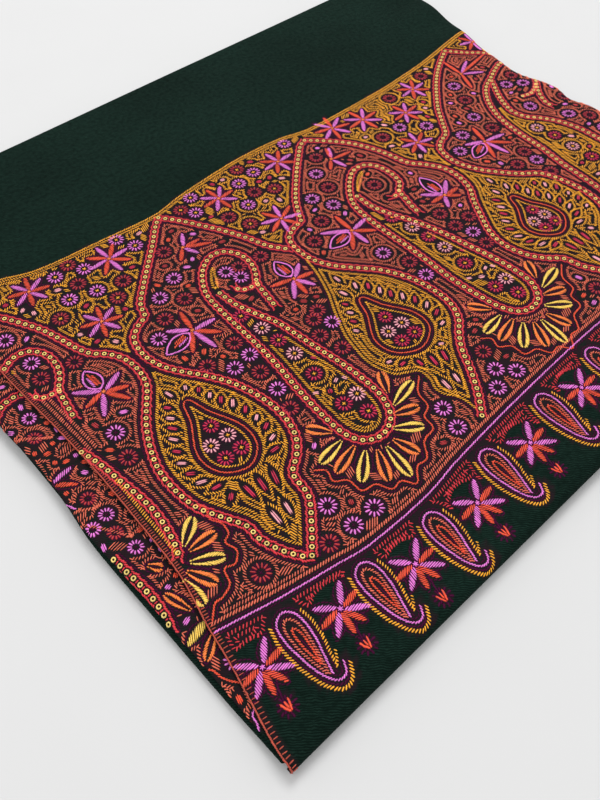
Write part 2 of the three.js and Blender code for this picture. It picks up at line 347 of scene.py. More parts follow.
def leaf_cloth(name, leaf, across, along, above, below, material, crowd=1.0, worked=None):
    """The cloth of a leaf, so thick above and below its middle.

    across and along are its steps: round the low side's roll, over the flat part and round the high side's.
    worked tells where it is embroidered.
    """
    def places(low_side, high_side, low, high, counts, crowding):
        before = low - low_side.length * (1 - np.arange(counts[0]) / max(counts[0], 1))
        flat = low + (high - low) * np.linspace(0, 1, counts[1] + 1) ** crowding
        after = high + high_side.length * np.arange(1, counts[2] + 1) / max(counts[2], 1)
        return np.concatenate([before, flat, after])

    v = places(leaf.front, leaf.back, leaf.v_low, leaf.v_high, along, 1.0)
    limits = leaf.u_limits(np.clip(v, leaf.v_low, leaf.v_high))
    lines = [places(leaf.left, leaf.right, a, b, across, crowd) for a, b in zip(*limits)]
    u = np.stack(lines, axis=1)
    v = np.broadcast_to(v, u.shape)
    middle = leaf.at(u, v)
    side = np.gradient(middle, axis=0)
    length = np.gradient(middle, axis=1)
    out = np.cross(side, length)
    out /= np.linalg.norm(out, axis=-1, keepdims=True)
    points = np.concatenate([(middle + out * above).reshape(-1, 3), (middle - out * below).reshape(-1, 3)])
    rows, columns = u.shape
    faces = np.concatenate([
        grid_faces(rows, columns),
        grid_faces(rows, columns, rows * columns, flipped=True),
        rim_faces(rows, columns),
    ])
    over = np.stack([u.ravel(), v.ravel()], axis=1)
    under = over + [0, PACKET_DEPTH + UNDER_SHIFT]
    both = np.concatenate([over, under])
    layers = {"Cloth": both, "OFBake": (both + BAKE_MARGIN) / BAKE_LEAF}
    cover = worked(u.ravel(), v.ravel()) if worked else np.zeros(u.size)
    values = {"worked": np.concatenate([cover, UNDER_COVER * cover])}
    return mesh_piece(name, to_frame(points), faces, layers, material, values)


# ----------------------------------------------------------
# The hidden layers
# ----------------------------------------------------------

CORE_GAP = {"front": 5.4, "left": 1.8, "right": 2.4}  # from the packet's outline in to the core
CORE_CORNER = 7.0
CORE_LAYERS = 3
CORE_STEPS = 8  # up each layer
CORE_GROOVE = 1.5  # depth of the grooves between the folds
CORE_WANDER = 0.35
LEFT_SHOULDER = 5.5  # how far the core stands in at its top, by side
RIGHT_SHOULDER = 11.0
END_SHOULDER = 2.5


def core_outline(side_steps, end_steps, corner_steps):
    """Plan outline of the core, anticlockwise: u, v and which way it faces."""
    r = CORE_CORNER
    low, high = CORE_GAP["front"], PACKET_DEPTH - CORE_GAP["front"]

    def left(v):
        return np.maximum(third_fold(v), 1) + CORE_GAP["left"]

    def right(v):
        return right_fold(v) - CORE_GAP["right"]

    def corner(cu, cv, start):
        angle = start + np.linspace(0, math.pi / 2, corner_steps + 1)
        return np.stack([cu + r * np.cos(angle), cv + r * np.sin(angle), np.cos(angle), np.sin(angle)], 1)

    def side(edge, start, finish, facing):
        v = np.linspace(start, finish, side_steps + 1)[1:-1]
        return np.stack([edge(v), v, np.full_like(v, facing), 0 * v], 1)

    def end(v, start, finish, facing):
        u = np.linspace(start, finish, end_steps + 1)[1:-1]
        return np.stack([u, np.full_like(u, v), 0 * u, np.full_like(u, facing)], 1)

    first, last = low + r, high - r
    return np.concatenate([
        corner(right(first) - r, first, -math.pi / 2),
        side(right, first, last, 1),
        corner(right(last) - r, last, 0),
        end(high, right(last) - r, left(last) + r, 1),
        corner(left(last) + r, last, math.pi / 2),
        side(left, last, first, -1),
        corner(left(first) + r, first, math.pi),
        end(low, left(first) + r, right(first) - r, -1),
    ])


def core_inset(z, place, facing):
    """How far the core's side stands in at a height: soft folds, one above another, none quite straight."""
    within = z / CORE_TOP * CORE_LAYERS
    layer = np.floor(np.minimum(within, CORE_LAYERS - 1e-6))
    fold = 2 * (within - layer) - 1
    grooves = CORE_GROOVE * (1 - np.sqrt(np.maximum(0, 1 - fold**2)))
    wander = CORE_WANDER * (1 + np.sin(place / (17 + 6 * layer) + 2 * layer)) * (1 - fold**2)
    shoulder = END_SHOULDER * smoothstep(z, CORE_TOP * 0.5, CORE_TOP)
    under = CORE_TOP * 2 / 3
    left = LEFT_SHOULDER * smoothstep(z, CORE_TOP * 0.15, CORE_TOP)
    right = RIGHT_SHOULDER * smoothstep(z, 0.8 * under, 0.95 * under)
    sideways = np.abs(facing)
    return sideways * (grooves + wander + np.where(facing < 0, left, right)) + shoulder * (1 - sideways)


def folded_core(material):
    """The layers of cloth inside the packet, which show as stacked folds at its sides."""
    outline = core_outline(side_steps=150, end_steps=60, corner_steps=6)
    count = len(outline)
    round_it = np.vstack([outline[:, :2], outline[:1, :2]])
    way = np.concatenate([[0], np.cumsum(np.hypot(*np.diff(round_it, axis=0).T))])
    heights = np.linspace(0, CORE_TOP, CORE_LAYERS * CORE_STEPS + 1)
    rings = []
    for z in heights:
        inset = core_inset(z, outline[:, 1], outline[:, 2])
        u = outline[:, 0] - inset * outline[:, 2]
        v = outline[:, 1] - inset * outline[:, 3]
        rings.append(np.stack([u, v, np.full(count, z)], 1))
    points = np.concatenate(rings)
    grids = np.meshgrid(np.arange(len(heights) - 1), np.arange(count), indexing="ij")
    k, i = (grid.ravel() for grid in grids)
    rows = np.concatenate([np.stack([k, k, k + 1], 1), np.stack([k, k + 1, k + 1], 1)])
    columns = np.concatenate([np.stack([i, i + 1, i + 1], 1), np.stack([i, i + 1, i], 1)])
    walls = rows * count + columns % count
    along, up = way[columns.ravel()], heights[rows.ravel()]
    last = (len(heights) - 1) * count
    middle = points[:, :2].mean(axis=0)
    points = np.concatenate([points, [[*middle, 0], [*middle, CORE_TOP]]])
    i = np.arange(count)
    after = (i + 1) % count
    under = np.stack([after, i, np.full(count, len(points) - 2)], 1)
    over = np.stack([last + i, last + after, np.full(count, len(points) - 1)], 1)
    caps = np.concatenate([under, over])
    plan = points[caps.ravel(), :2]
    places = np.concatenate([np.stack([along, up * 2], 1), plan])
    strip = np.stack([0.01 + 0.98 * along / way[-1], 0.86 + 0.12 * up / CORE_TOP], 1)
    bake = np.concatenate([strip, (plan + BAKE_MARGIN / 2) / BAKE_PLAN])
    return mesh_piece("folded_core_cloth", to_frame(points), np.concatenate([walls, caps]),
                      {"Cloth": places, "OFBake": bake}, material)


# ----------------------------------------------------------
# Materials
# ----------------------------------------------------------

def linear(red, green, blue):
    """A colour given from 0 to 255, as the shaders take it."""
    def one(value):
        value /= 255
        return value / 12.92 if value <= 0.04045 else ((value + 0.055) / 1.055) ** 2.4
    return one(red), one(green), one(blue), 1.0


class Bench:
    """Places shader nodes in one tree and joins them."""

    def __init__(self, tree):
        self.tree = tree

    def node(self, kind, settings=None, **inputs):
        made = self.tree.nodes.new(kind)
        for name, value in (settings or {}).items():
            setattr(made, name, value)
        for name, value in inputs.items():
            self.feed(made.inputs[name.replace("_", " ")], value)
        return made

    def feed(self, socket, value):
        if isinstance(value, bpy.types.NodeSocket):
            self.tree.links.new(value, socket)
        else:
            socket.default_value = value

    def math(self, operation, *values):
        made = self.tree.nodes.new("ShaderNodeMath")
        made.operation = operation
        for socket, value in zip(made.inputs, values):
            self.feed(socket, value)
        return made.outputs[0]

    def noise(self, place, scale, detail=2.0):
        made = self.node("ShaderNodeTexNoise", {"noise_dimensions": "3D"}, Vector=place, Scale=scale,
                         Detail=detail)
        return made.outputs["Fac"]

    def wave(self, value):
        """0 to 1, once for each whole number."""
        angle = self.math("MULTIPLY", value, 2 * math.pi)
        return self.math("MULTIPLY_ADD", self.math("SINE", angle), 0.5, 0.5)

    def spread(self, value, low, high, from_low=0.0, from_high=1.0):
        """The value between low and high, as it goes from from_low to from_high."""
        made = self.node("ShaderNodeMapRange", {"clamp": True}, Value=value, From_Min=from_low,
                         From_Max=from_high, To_Min=low, To_Max=high)
        return made.outputs["Result"]


def effect(name, takes, gives):
    """A node group with these sockets: (name, kind, usual value) to take and (name, kind) to give."""
    group = bpy.data.node_groups.new(name, "ShaderNodeTree")
    for label, kind, usual in takes:
        socket = group.interface.new_socket(label, in_out="INPUT", socket_type=kind)
        if usual is not None:
            socket.default_value = usual
    for label, kind in gives:
        group.interface.new_socket(label, in_out="OUTPUT", socket_type=kind)
    bench = Bench(group)
    return group, bench, bench.node("NodeGroupInput").outputs, bench.node("NodeGroupOutput").inputs


def twill_effect():
    """Diagonal twill: lines a spacing apart, cut into single yarns, under a soft nap."""
    group, bench, takes, gives = effect(
        "twill",
        [
            ("Place", "NodeSocketVector", None),
            ("Spacing", "NodeSocketFloat", 1.3),
            ("Lean", "NodeSocketFloat", 0.65),
        ],
        [("Height", "NodeSocketFloat"), ("GrooveShade", "NodeSocketFloat"), ("Patches", "NodeSocketFloat")],
    )
    place = bench.node("ShaderNodeSeparateXYZ", Vector=takes["Place"]).outputs
    u, v = place["X"], place["Y"]
    wobble = bench.math("MULTIPLY_ADD", bench.noise(takes["Place"], 0.19, 2.0), 2.4, -1.2)
    across = bench.math("ADD", bench.math("MULTIPLY", u, bench.math("SINE", takes["Lean"])),
                        bench.math("MULTIPLY", v, bench.math("COSINE", takes["Lean"])))
    line = bench.math("ADD", bench.math("DIVIDE", across, takes["Spacing"]), wobble)
    ridge = bench.wave(line)
    yarn = bench.wave(bench.math("DIVIDE", u, bench.math("MULTIPLY", takes["Spacing"], 0.46)))
    nap = bench.noise(takes["Place"], 3.2, 4.0)
    crossed = bench.math("MULTIPLY", ridge, yarn)
    woven = bench.math("MULTIPLY_ADD", crossed, 0.35, bench.math("MULTIPLY", ridge, 0.65))
    # A patchy fade of the twill, of its relief and of the painted shade in its grooves.
    wear_and_shade = bench.spread(bench.noise(takes["Place"], 0.33, 2.0), 0.2, 1.0, 0.3, 0.62)
    woven = bench.math("MULTIPLY", woven, wear_and_shade)
    bench.feed(gives["Height"], bench.math("MULTIPLY_ADD", nap, 0.6, woven))
    # The grooves' share, which is painted as shade in the twill's grooves.
    bench.feed(gives["GrooveShade"], bench.math("SUBTRACT", 1.0, woven))
    bench.feed(gives["Patches"], bench.noise(takes["Place"], 0.012, 3.0))
    return group


def ply_effect():
    """Two-ply thread: strands that wind round it, with a little unevenness along it."""
    group, bench, takes, gives = effect(
        "ply",
        [("Place", "NodeSocketVector", None), ("Twist", "NodeSocketFloat", 0.7)],
        [("Height", "NodeSocketFloat"), ("StrandShade", "NodeSocketFloat"), ("Wear", "NodeSocketFloat")],
    )
    place = bench.node("ShaderNodeSeparateXYZ", Vector=takes["Place"]).outputs
    along = bench.math("DIVIDE", place["X"], takes["Twist"])
    strand = bench.wave(bench.math("ADD", along, bench.math("MULTIPLY", place["Y"], 1.4)))
    fibre = bench.noise(takes["Place"], 5.0, 3.0)
    bench.feed(gives["Height"], bench.math("MULTIPLY_ADD", fibre, 0.5, strand))
    # The strands' wave, which is painted as shade between the winding plies.
    bench.feed(gives["StrandShade"], strand)
    bench.feed(gives["Wear"], bench.noise(takes["Place"], 0.7, 2.0))
    return group


def new_material(name, colour):
    """A material with the bench for its nodes and its shader."""
    material = bpy.data.materials.new(name)
    material.use_nodes = True
    material.diffuse_color = colour
    bench = Bench(material.node_tree)
    shader = next(n for n in material.node_tree.nodes if n.type == "BSDF_PRINCIPLED")
    return material, bench, shader


def shaded(colour, share):
    """A colour made darker or brighter."""
    return tuple(c * share for c in colour[:3]) + (1,)


def mixed(bench, share, first, second, way="MIX"):
    """A mix of two colours."""
    made = bench.node("ShaderNodeMix", {"data_type": "RGBA", "blend_type": way})
    share_socket, first_colour, second_colour, mixed_colour = 0, 6, 7, 2
    for index, value in ((share_socket, share), (first_colour, first), (second_colour, second)):
        bench.feed(made.inputs[index], value)
    return made.outputs[mixed_colour]


def green_twill(twill, name, colour, under_stitches):
    """Dark green pashmina: fine twill with a soft nap, with painted shade in its grooves and painted light on
    its ridges, and darker where threads run under the stitches.
    """
    material, bench, shader = new_material(name, colour)
    place = bench.node("ShaderNodeUVMap", {"uv_map": "Cloth"}).outputs[0]
    weave = bench.node("ShaderNodeGroup", {"node_tree": twill}, Place=place, Spacing=1.15, Lean=0.7).outputs
    # Painted shade and light: the twill's grooves take a darker green and its ridges a lighter one.
    deep, bright = shaded(colour, 0.45), shaded(colour, 1.6)
    woven = mixed(bench, weave["GrooveShade"], bright, deep)
    patches = bench.spread(weave["Patches"], 0.78, 1.2, 0.3, 0.7)
    tint = bench.node("ShaderNodeCombineColor", Red=patches, Green=patches, Blue=patches).outputs[0]
    bare = mixed(bench, 1.0, woven, tint, "MULTIPLY")
    worked = bench.node("ShaderNodeAttribute", {"attribute_name": "worked"}).outputs["Fac"]
    patchy = bench.math("MULTIPLY", worked, bench.spread(bench.noise(place, 0.22, 2.0), 0.35, 1.0, 0.35, 0.5))
    bench.feed(shader.inputs["Base Color"], mixed(bench, patchy, bare, under_stitches))
    bench.feed(shader.inputs["Roughness"], bench.spread(weave["GrooveShade"], 0.72, 0.95))
    bump = bench.node("ShaderNodeBump", Strength=0.7, Distance=0.0004, Height=weave["Height"])
    bench.feed(shader.inputs["Normal"], bump.outputs[0])
    shader.inputs["Sheen Weight"].default_value = 0.012
    shader.inputs["Sheen Roughness"].default_value = 0.45
    shader.inputs["Sheen Tint"].default_value = (0.45, 0.75, 0.62, 1)
    shader.inputs["Specular IOR Level"].default_value = 0.03
    return material


def thread_material(ply, name, colour, gloss):
    """One colour of embroidery thread: gloss is 1 for bright silk and 0 for dull wool."""
    material, bench, shader = new_material(name, colour)
    place = bench.node("ShaderNodeUVMap", {"uv_map": "Thread"}).outputs[0]
    thread = bench.node("ShaderNodeGroup", {"node_tree": ply}, Place=place, Twist=0.8).outputs
    tone = bench.node("ShaderNodeAttribute", {"attribute_name": "tone"}).outputs["Fac"]
    dark, pale = shaded(colour, 0.55), shaded(colour, 1.17)
    # Painted shade: the winding strands are coloured darker and lighter by turns, mixed with each stitch's
    # own tone and the thread's unevenness.
    lit = bench.math("MULTIPLY_ADD", thread["StrandShade"], 0.3, bench.math("MULTIPLY", tone, 0.7))
    wear_and_shade = bench.math("ADD", lit, bench.spread(thread["Wear"], -0.1, 0.2, 0.3, 0.7))
    bench.feed(shader.inputs["Base Color"], mixed(bench, wear_and_shade, dark, pale))
    rough = 0.62 - 0.22 * gloss
    bench.feed(shader.inputs["Roughness"], bench.spread(thread["StrandShade"], rough + 0.15, rough))
    bump = bench.node("ShaderNodeBump", Strength=0.4, Distance=0.00012, Height=thread["Height"])
    bench.feed(shader.inputs["Normal"], bump.outputs[0])
    shader.inputs["Sheen Weight"].default_value = 0.08 * gloss
    shader.inputs["Sheen Roughness"].default_value = 0.35
    shader.inputs["Specular IOR Level"].default_value = 0.06 + 0.34 * gloss
    return material


def floor_material():
    """Pale matte paper, faintly mottled."""
    material, bench, shader = new_material("pale_floor", (0.84, 0.84, 0.84, 1))
    place = bench.node("ShaderNodeTexCoord").outputs["Object"]
    mottle = bench.spread(bench.noise(place, 14.0, 3.0), 0.505, 0.52)
    colour = bench.node("ShaderNodeCombineColor", Red=mottle, Green=mottle, Blue=mottle).outputs[0]
    bench.feed(shader.inputs["Base Color"], colour)
    bench.feed(shader.inputs["Roughness"], 0.9)
    return material


# ----------------------------------------------------------
# Floor, light and camera
# ----------------------------------------------------------

def lay_floor():
    """A wide pale floor under the shawl."""
    mesh = bpy.data.meshes.new("floor")
    far = 12.0
    mesh.from_pydata([(-far, -far, 0), (far, -far, 0), (far, far, 0), (-far, far, 0)], [], [(0, 1, 2, 3)])
    mesh.materials.append(floor_material())
    floor = bpy.data.objects.new("floor", mesh)
    floor.location.z = -0.0002  # clear of the cloth
    bpy.context.scene.collection.objects.link(floor)


def hang_light(name, size, power, place):
    """A round soft light that faces the shawl's middle."""
    light = bpy.data.lights.new(name, "AREA")
    light.shape = "DISK"
    light.size = size
    light.energy = power
    lamp = bpy.data.objects.new(name, light)
    lamp.location = place
    lamp.rotation_euler = (-Vector(place)).to_track_quat("-Z", "Y").to_euler()
    bpy.context.scene.collection.objects.link(lamp)


def light_studio():
    """Even white light from all round, with a window's and a ceiling's on top of it."""
    world = bpy.data.worlds.new("studio")
    world.use_nodes = True
    world.node_tree.nodes["Background"].inputs["Color"].default_value = (1, 1, 1, 1)
    world.node_tree.nodes["Background"].inputs["Strength"].default_value = 0.78
    bpy.context.scene.world = world
    hang_light("window", size=1.3, power=46, place=(0.7, 0.9, 2.4))
    hang_light("ceiling", size=2.4, power=20, place=(-0.8, -0.5, 2.1))
    bpy.context.scene.view_settings.view_transform = "Standard"


def set_camera():
    """The camera looks down over the near corner."""
    camera = bpy.data.cameras.new("camera")
    camera.lens = 36.2
    camera.sensor_width = 36
    camera.clip_start = 0.01
    holder = bpy.data.objects.new("camera", camera)
    holder.location = (-0.3213, -0.2910, 0.3718)
    holder.rotation_euler = (math.radians(37.29), math.radians(-0.21), math.radians(-42.82))
    bpy.context.scene.collection.objects.link(holder)
    bpy.context.scene.camera = holder


# ----------------------------------------------------------
# Lines on the cloth
# ----------------------------------------------------------

LINE_STEP = 0.6  # between the points of a smooth line


def unit(vector):
    """The vector at a length of 1."""
    return vector / np.hypot(*vector)


def spokes(angles):
    """Unit vectors at these angles."""
    return np.stack([np.cos(angles), np.sin(angles)], 1)


def left_of(vector):
    """The vector turned a quarter to the left."""
    return np.array([-vector[1], vector[0]])


def even(line, step):
    """The line in even steps of about this length."""
    line = np.asarray(line, float)
    way = np.concatenate([[0], np.cumsum(np.hypot(*np.diff(line, axis=0).T))])
    count = max(2, int(round(way[-1] / step)) + 1)
    at = np.linspace(0, way[-1], count)
    return np.stack([np.interp(at, way, line[:, 0]), np.interp(at, way, line[:, 1])], 1)


def smooth(points, closed=False, step=LINE_STEP):
    """A smooth line through points."""
    p = np.asarray(points, float)
    if closed:
        p = np.vstack([p[-1:], p, p[:2]])
    else:
        p = np.vstack([2 * p[0] - p[1], p, 2 * p[-1] - p[-2]])
    t = np.linspace(0, 1, 10, endpoint=False)[:, None]
    runs = [
        0.5 * (2 * b + (c - a) * t + (2 * a - 5 * b + 4 * c - d) * t**2 + (3 * b - a - 3 * c + d) * t**3)
        for a, b, c, d in zip(p, p[1:], p[2:], p[3:])
    ]
    return even(np.vstack(runs + [p[-2:-1]]), step)


def headings(line):
    """Unit vectors along a line."""
    run = np.gradient(line, axis=0)
    size = np.hypot(run[:, 0], run[:, 1])
    return run / np.where(size > 1e-9, size, 1)[:, None]


def turned(vectors, degrees):
    """Vectors turned to the left."""
    c, s = math.cos(math.radians(degrees)), math.sin(math.radians(degrees))
    return np.stack([vectors[:, 0] * c - vectors[:, 1] * s, vectors[:, 0] * s + vectors[:, 1] * c], 1)


def beside(line, distance):
    """The line moved to its left, without the loops that it would make in tight bends."""
    shifted = line + distance * turned(headings(line), 90)
    gap = shifted[:, None, :] - line[None, :, :]
    near = np.sqrt(np.min(gap[..., 0] ** 2 + gap[..., 1] ** 2, axis=1))
    kept = shifted[near > abs(distance) * 0.94]
    return even(kept if len(kept) > 2 else shifted, LINE_STEP)


def all_round(outline, step=LINE_STEP):
    """The closed line round an outline, in even steps."""
    return even(np.vstack([outline, outline[:1]]), step)


def moved(points, du, dv):
    """The points, so far along the cloth."""
    return [(u + du, v + dv) for u, v in points]


def leaf_outline(base, tip, width):
    """A closed leaf shape from its base to its tip."""
    base, tip = np.asarray(base, float), np.asarray(tip, float)
    axis = tip - base
    normal = left_of(axis) / max(np.hypot(*axis), 1e-9)
    t = np.linspace(0, 1, 12)
    half = width / 2 * np.sin(math.pi * t**0.85) ** 0.8
    spine = base + np.outer(t, axis)
    left = spine + half[:, None] * normal
    right = spine - half[:, None] * normal
    return np.vstack([left, right[::-1]])


# ----------------------------------------------------------
# Needlework
# ----------------------------------------------------------

CELL = 0.5  # of the plan of what is covered
GROUND_REACH = 26  # cells that the rows of the ground look round them
CLAIM_REACH = 40  # cells round a flower that it can take out of the room


class Needlework:
    """The stitches of one leaf, by thread, and a plan of the cloth that they cover."""

    def __init__(self, leaf, low, high):
        self.leaf = leaf
        self.low = np.asarray(low, float)
        self.shape = tuple(int((b - a) / CELL) + 1 for a, b in zip(low, high))[::-1]
        self.taken = np.zeros(self.shape, bool)
        self.ground = np.zeros(self.shape, np.int8)
        self.u = self.low[0] + np.arange(self.shape[1]) * CELL
        self.v = self.low[1] + np.arange(self.shape[0]) * CELL
        self.stitches = {}
        self.rings = {}

    # Plan of the cover

    def cells(self, points):
        """Rows and columns of points, and which of them lie on the plan."""
        at = np.round((np.asarray(points, float) - self.low) / CELL).astype(int)
        inside = ((at >= 0) & (at < self.shape[::-1])).all(axis=1)
        return at[:, 1], at[:, 0], inside

    def cover(self, line, radius):
        """Mark what lies near a line as taken."""
        reach = int(math.ceil(radius / CELL))
        span = np.arange(-reach, reach + 1) * CELL
        du, dv = np.meshgrid(span, span)
        near = np.hypot(du, dv) <= radius
        disc = np.stack([du[near], dv[near]], 1)
        points = (np.asarray(line, float)[:, None, :] + disc[None]).reshape(-1, 2)
        rows, columns, inside = self.cells(points)
        self.taken[rows[inside], columns[inside]] = True

    def within(self, outline):
        """Cells inside a closed outline."""
        outline = np.asarray(outline, float)
        rows = (self.v >= outline[:, 1].min()) & (self.v <= outline[:, 1].max())
        columns = (self.u >= outline[:, 0].min()) & (self.u <= outline[:, 0].max())
        uu, vv = np.meshgrid(self.u[columns], self.v[rows])
        inside = np.zeros(uu.shape, bool)
        for (u0, v0), (u1, v1) in zip(outline, np.roll(outline, -1, axis=0)):
            if v0 != v1:
                crosses = ((v0 > vv) != (v1 > vv)) & (uu < (u1 - u0) * (vv - v0) / (v1 - v0) + u0)
                inside ^= crosses
        found = np.zeros(self.shape, bool)
        found[np.ix_(rows, columns)] = inside
        return found

    def cover_shape(self, outline, rim=0.4):
        """Mark a shape as taken, and a little beyond its rim."""
        self.taken |= self.within(outline)
        self.cover(all_round(outline, CELL), rim)

    def lay_ground(self, kind, outline):
        """Mark a shape as ground of a kind."""
        self.ground[self.within(outline)] = kind

    def distance(self):
        """Millimetres from each cell to the nearest that is taken, as far as the rows look."""
        gap = np.where(self.taken, 0.0, GROUND_REACH)
        for i in range(1, len(gap)):
            gap[i] = np.minimum(gap[i], gap[i - 1] + 1)
        for i in range(len(gap) - 2, -1, -1):
            gap[i] = np.minimum(gap[i], gap[i + 1] + 1)
        square = gap**2
        best = square.copy()
        for shift in range(1, GROUND_REACH):
            best[:, shift:] = np.minimum(best[:, shift:], square[:, :-shift] + shift**2)
            best[:, :-shift] = np.minimum(best[:, :-shift], square[:, shift:] + shift**2)
        return np.sqrt(best) * CELL

    def room(self, kind):
        """The distance to what is taken, on ground of one kind."""
        return np.where(self.ground == kind, self.distance(), 0)

    def claim(self, room, i, j, radius, ring=0.0):
        """Take a flower at a cell, with a ring round it, out of the room."""
        a, b = max(i - CLAIM_REACH, 0), max(j - CLAIM_REACH, 0)
        rows, columns = slice(a, i + CLAIM_REACH + 1), slice(b, j + CLAIM_REACH + 1)
        near = room[rows, columns]
        uu, vv = np.meshgrid(self.u[columns], self.v[rows])
        left = np.hypot(uu - self.u[j], vv - self.v[i]) - radius - ring
        np.minimum(near, np.maximum(left, 0), out=near)

    # Stitches

    def lay(self, thread, start, end, width=0.75, height=0.42):
        """Single stitches from their starts to their ends."""
        start, end = np.atleast_2d(start), np.atleast_2d(end)
        size = np.full((len(start), 1), 1.0)
        self.stitches.setdefault(thread, []).append(np.hstack([start, end, size * width, size * height]))

    def rope(self, thread, line, length=2.6, lean=40, spacing=1.3, width=0.8, height=0.42, cover=0.0):
        """A row of slanting stitches along a line."""
        line = even(line, spacing)
        way = turned(headings(line), lean) * length / 2
        self.lay(thread, line - way, line + way, width, height)
        if cover:
            self.cover(even(line, CELL), cover)

    def shade(self, line, width=0.9, height=0.28, lean=18, cover=0.0):
        """A dark line, such as runs beside a bright one."""
        self.rope("aubergine", line, 2.4, lean, 2.0, width, height, cover)

    def petal(self, thread, base, tip, width, slit=False, edged=True, spacing=1.25):
        """A petal of slanting stitches, whole or slit down its middle, with a dark outline or without."""
        base, tip = np.asarray(base, float), np.asarray(tip, float)
        axis = tip - base
        length = np.hypot(*axis)
        heading = axis / length
        normal = left_of(heading)
        count = max(3, int(length / spacing))
        t = (np.arange(count) + 0.5) / count
        round_off = 0.68 if slit else 0.45
        fullest = 1.1 if slit else 0.9
        half = (width / 2 * np.sin(math.pi * t**fullest) ** round_off + 0.2)[:, None]
        spine = base + t[:, None] * axis
        if slit:
            for side in (-1, 1):
                inner = spine + side * (0.45 + 0.16 * half) * normal - heading * 0.6
                outer = spine + side * half * normal + heading * half * 0.95
                self.lay(thread, inner, outer, 1.05, 0.48)
            self.lay("aubergine", base + axis * 0.1, tip - axis * 0.12, 0.7, 0.2)
        else:
            way = half * normal + np.maximum(half, 0.9) * 0.95 * heading
            self.lay(thread, spine - way, spine + way, 1.0, 0.48)
        if edged:
            outline = leaf_outline(base - heading * 0.8, tip + heading * 1.6, width + 2.6)
            self.shade(all_round(outline), 1.05, lean=14)
            self.cover_shape(outline, 0.1)
        else:
            self.cover_shape(leaf_outline(base, tip, width), 0.4)

    def rosette(self, centre, radius, thread, heart="aubergine", count=12):
        """A round flower of stitches laid like spokes."""
        spoke = spokes(np.arange(count) / count * 2 * math.pi + centre[0])
        between = turned(spoke, 180 / count)
        centre = np.asarray(centre, float)
        self.lay(thread, centre + spoke * radius * 0.36, centre + spoke * radius, 1.3, 0.48)
        self.lay("aubergine", centre + between * radius * 0.3, centre + between * (radius + 0.9), 0.8, 0.26)
        self.lay(heart, centre + spoke[::3] * radius * 0.26, centre - spoke[::3] * radius * 0.1, 0.8, 0.42)
        self.cover([centre], radius + 1.1)

    def star(self, centre, petals, width=3.8, gap=1.8, heart="orange"):
        """A flower of pointed petals: each is a thread and its tip."""
        centre = np.asarray(centre, float)
        for thread, tip in petals:
            way = np.asarray(tip, float) - centre
            self.petal(thread, centre + unit(way) * gap, tip, width)
        spoke = spokes(np.arange(6) * math.pi / 3)
        self.lay(heart, centre - spoke * 0.2, centre + spoke * 1.7, 0.9, 0.5)
        self.cover([centre], 2.2)

    def seed(self, thread, centre, length=3.0, lean=60, count=3, width=0.95):
        """A few stitches side by side."""
        way = np.array([math.cos(math.radians(lean)), math.sin(math.radians(lean))])
        across = (np.arange(count) - (count - 1) / 2)[:, None]
        centre = np.asarray(centre, float)
        middle = centre + across * width * 0.92 * left_of(way)
        share = 1 - 0.25 * np.abs(across)
        self.lay(thread, middle - way * share * length / 2, middle + way * share * length / 2, width, 0.46)
        self.cover([centre - way * length / 4, centre, centre + way * length / 4], length / 4 + 1.2)

    def bead_chain(self, line, half=2.3):
        """Two crimson rails with pale rings between them, drawn in like links, edged in aubergine."""
        stops = even(line, 4.8)
        line = even(line, 0.5)
        for side in (-1, 1):
            rail = beside(line, side * half)
            link = np.linspace(0, 2 * math.pi * (len(stops) - 1), len(rail))
            rail = rail + side * 0.3 * np.cos(link)[:, None] * turned(headings(rail), 90)
            self.rope("crimson", rail, 2.5, 30 * side, 1.4, 1.15, 0.46)
            self.shade(beside(line, side * (half + 1.7)), 1.0, lean=18 * side)
        self.rings.setdefault("cream", []).append(stops[:-1])
        bars = (stops[:-1] + stops[1:]) / 2
        across = turned(headings(bars), 90)
        self.lay("crimson", bars - across * 1.3, bars + across * 1.3, 1.1, 0.4)
        self.cover(even(line, CELL), half + 2.2)

    # The ground

    def hedge(self, kind, thread, low, high, away=1.5, slack=4, least=30):
        """A row of slanting stitches just inside the free ground of a kind, between two corners."""
        room = self.room(kind)
        room[(self.v < low[1] - slack) | (self.v > high[1] + slack)] = 0
        room[:, (self.u < low[0] - slack) | (self.u > high[0] + slack)] = 0
        for line in contour_lines(room, away):
            line = self.low + line * CELL
            if np.hypot(*np.diff(line, axis=0).T).sum() < least:
                continue
            line = even(line, 1.6)
            way = turned(headings(line), 50) * 1.5
            kept = ((line > low) & (line < high)).all(axis=1)
            self.lay(thread, (line - way)[kept], (line + way)[kept], 0.78, 0.48)
            self.cover(line[kept], 1.2)

    def fill_rosettes(self, kind, threads, least=7.2, most=5.7, ring=4.6, seed=3):
        """Rosettes wherever the ground is still wide enough for one, each with a ring of ground round it."""
        chance = np.random.RandomState(seed)
        room = self.room(kind)
        i, j = widest(room)
        while room[i, j] >= least:
            radius = min(most, room[i, j] - 1.8)
            self.rosette((self.u[j], self.v[i]), radius, threads[chance.randint(len(threads))])
            self.claim(room, i, j, radius, ring)
            i, j = widest(room)

    def fill_seeds(self, kind, threads, least=3.6, share=0.7, seed=8):
        """Small leaves in what is left between the flowers."""
        chance = np.random.RandomState(seed)
        room = self.room(kind)
        i, j = widest(room)
        while room[i, j] >= least:
            centre = np.array([self.u[j], self.v[i]])
            if chance.rand() < share:
                lean = chance.randint(0, 180)
                self.seed(threads[chance.randint(len(threads))], centre, 4.6 + 2 * chance.rand(), lean)
            self.claim(room, i, j, 3)
            i, j = widest(room)

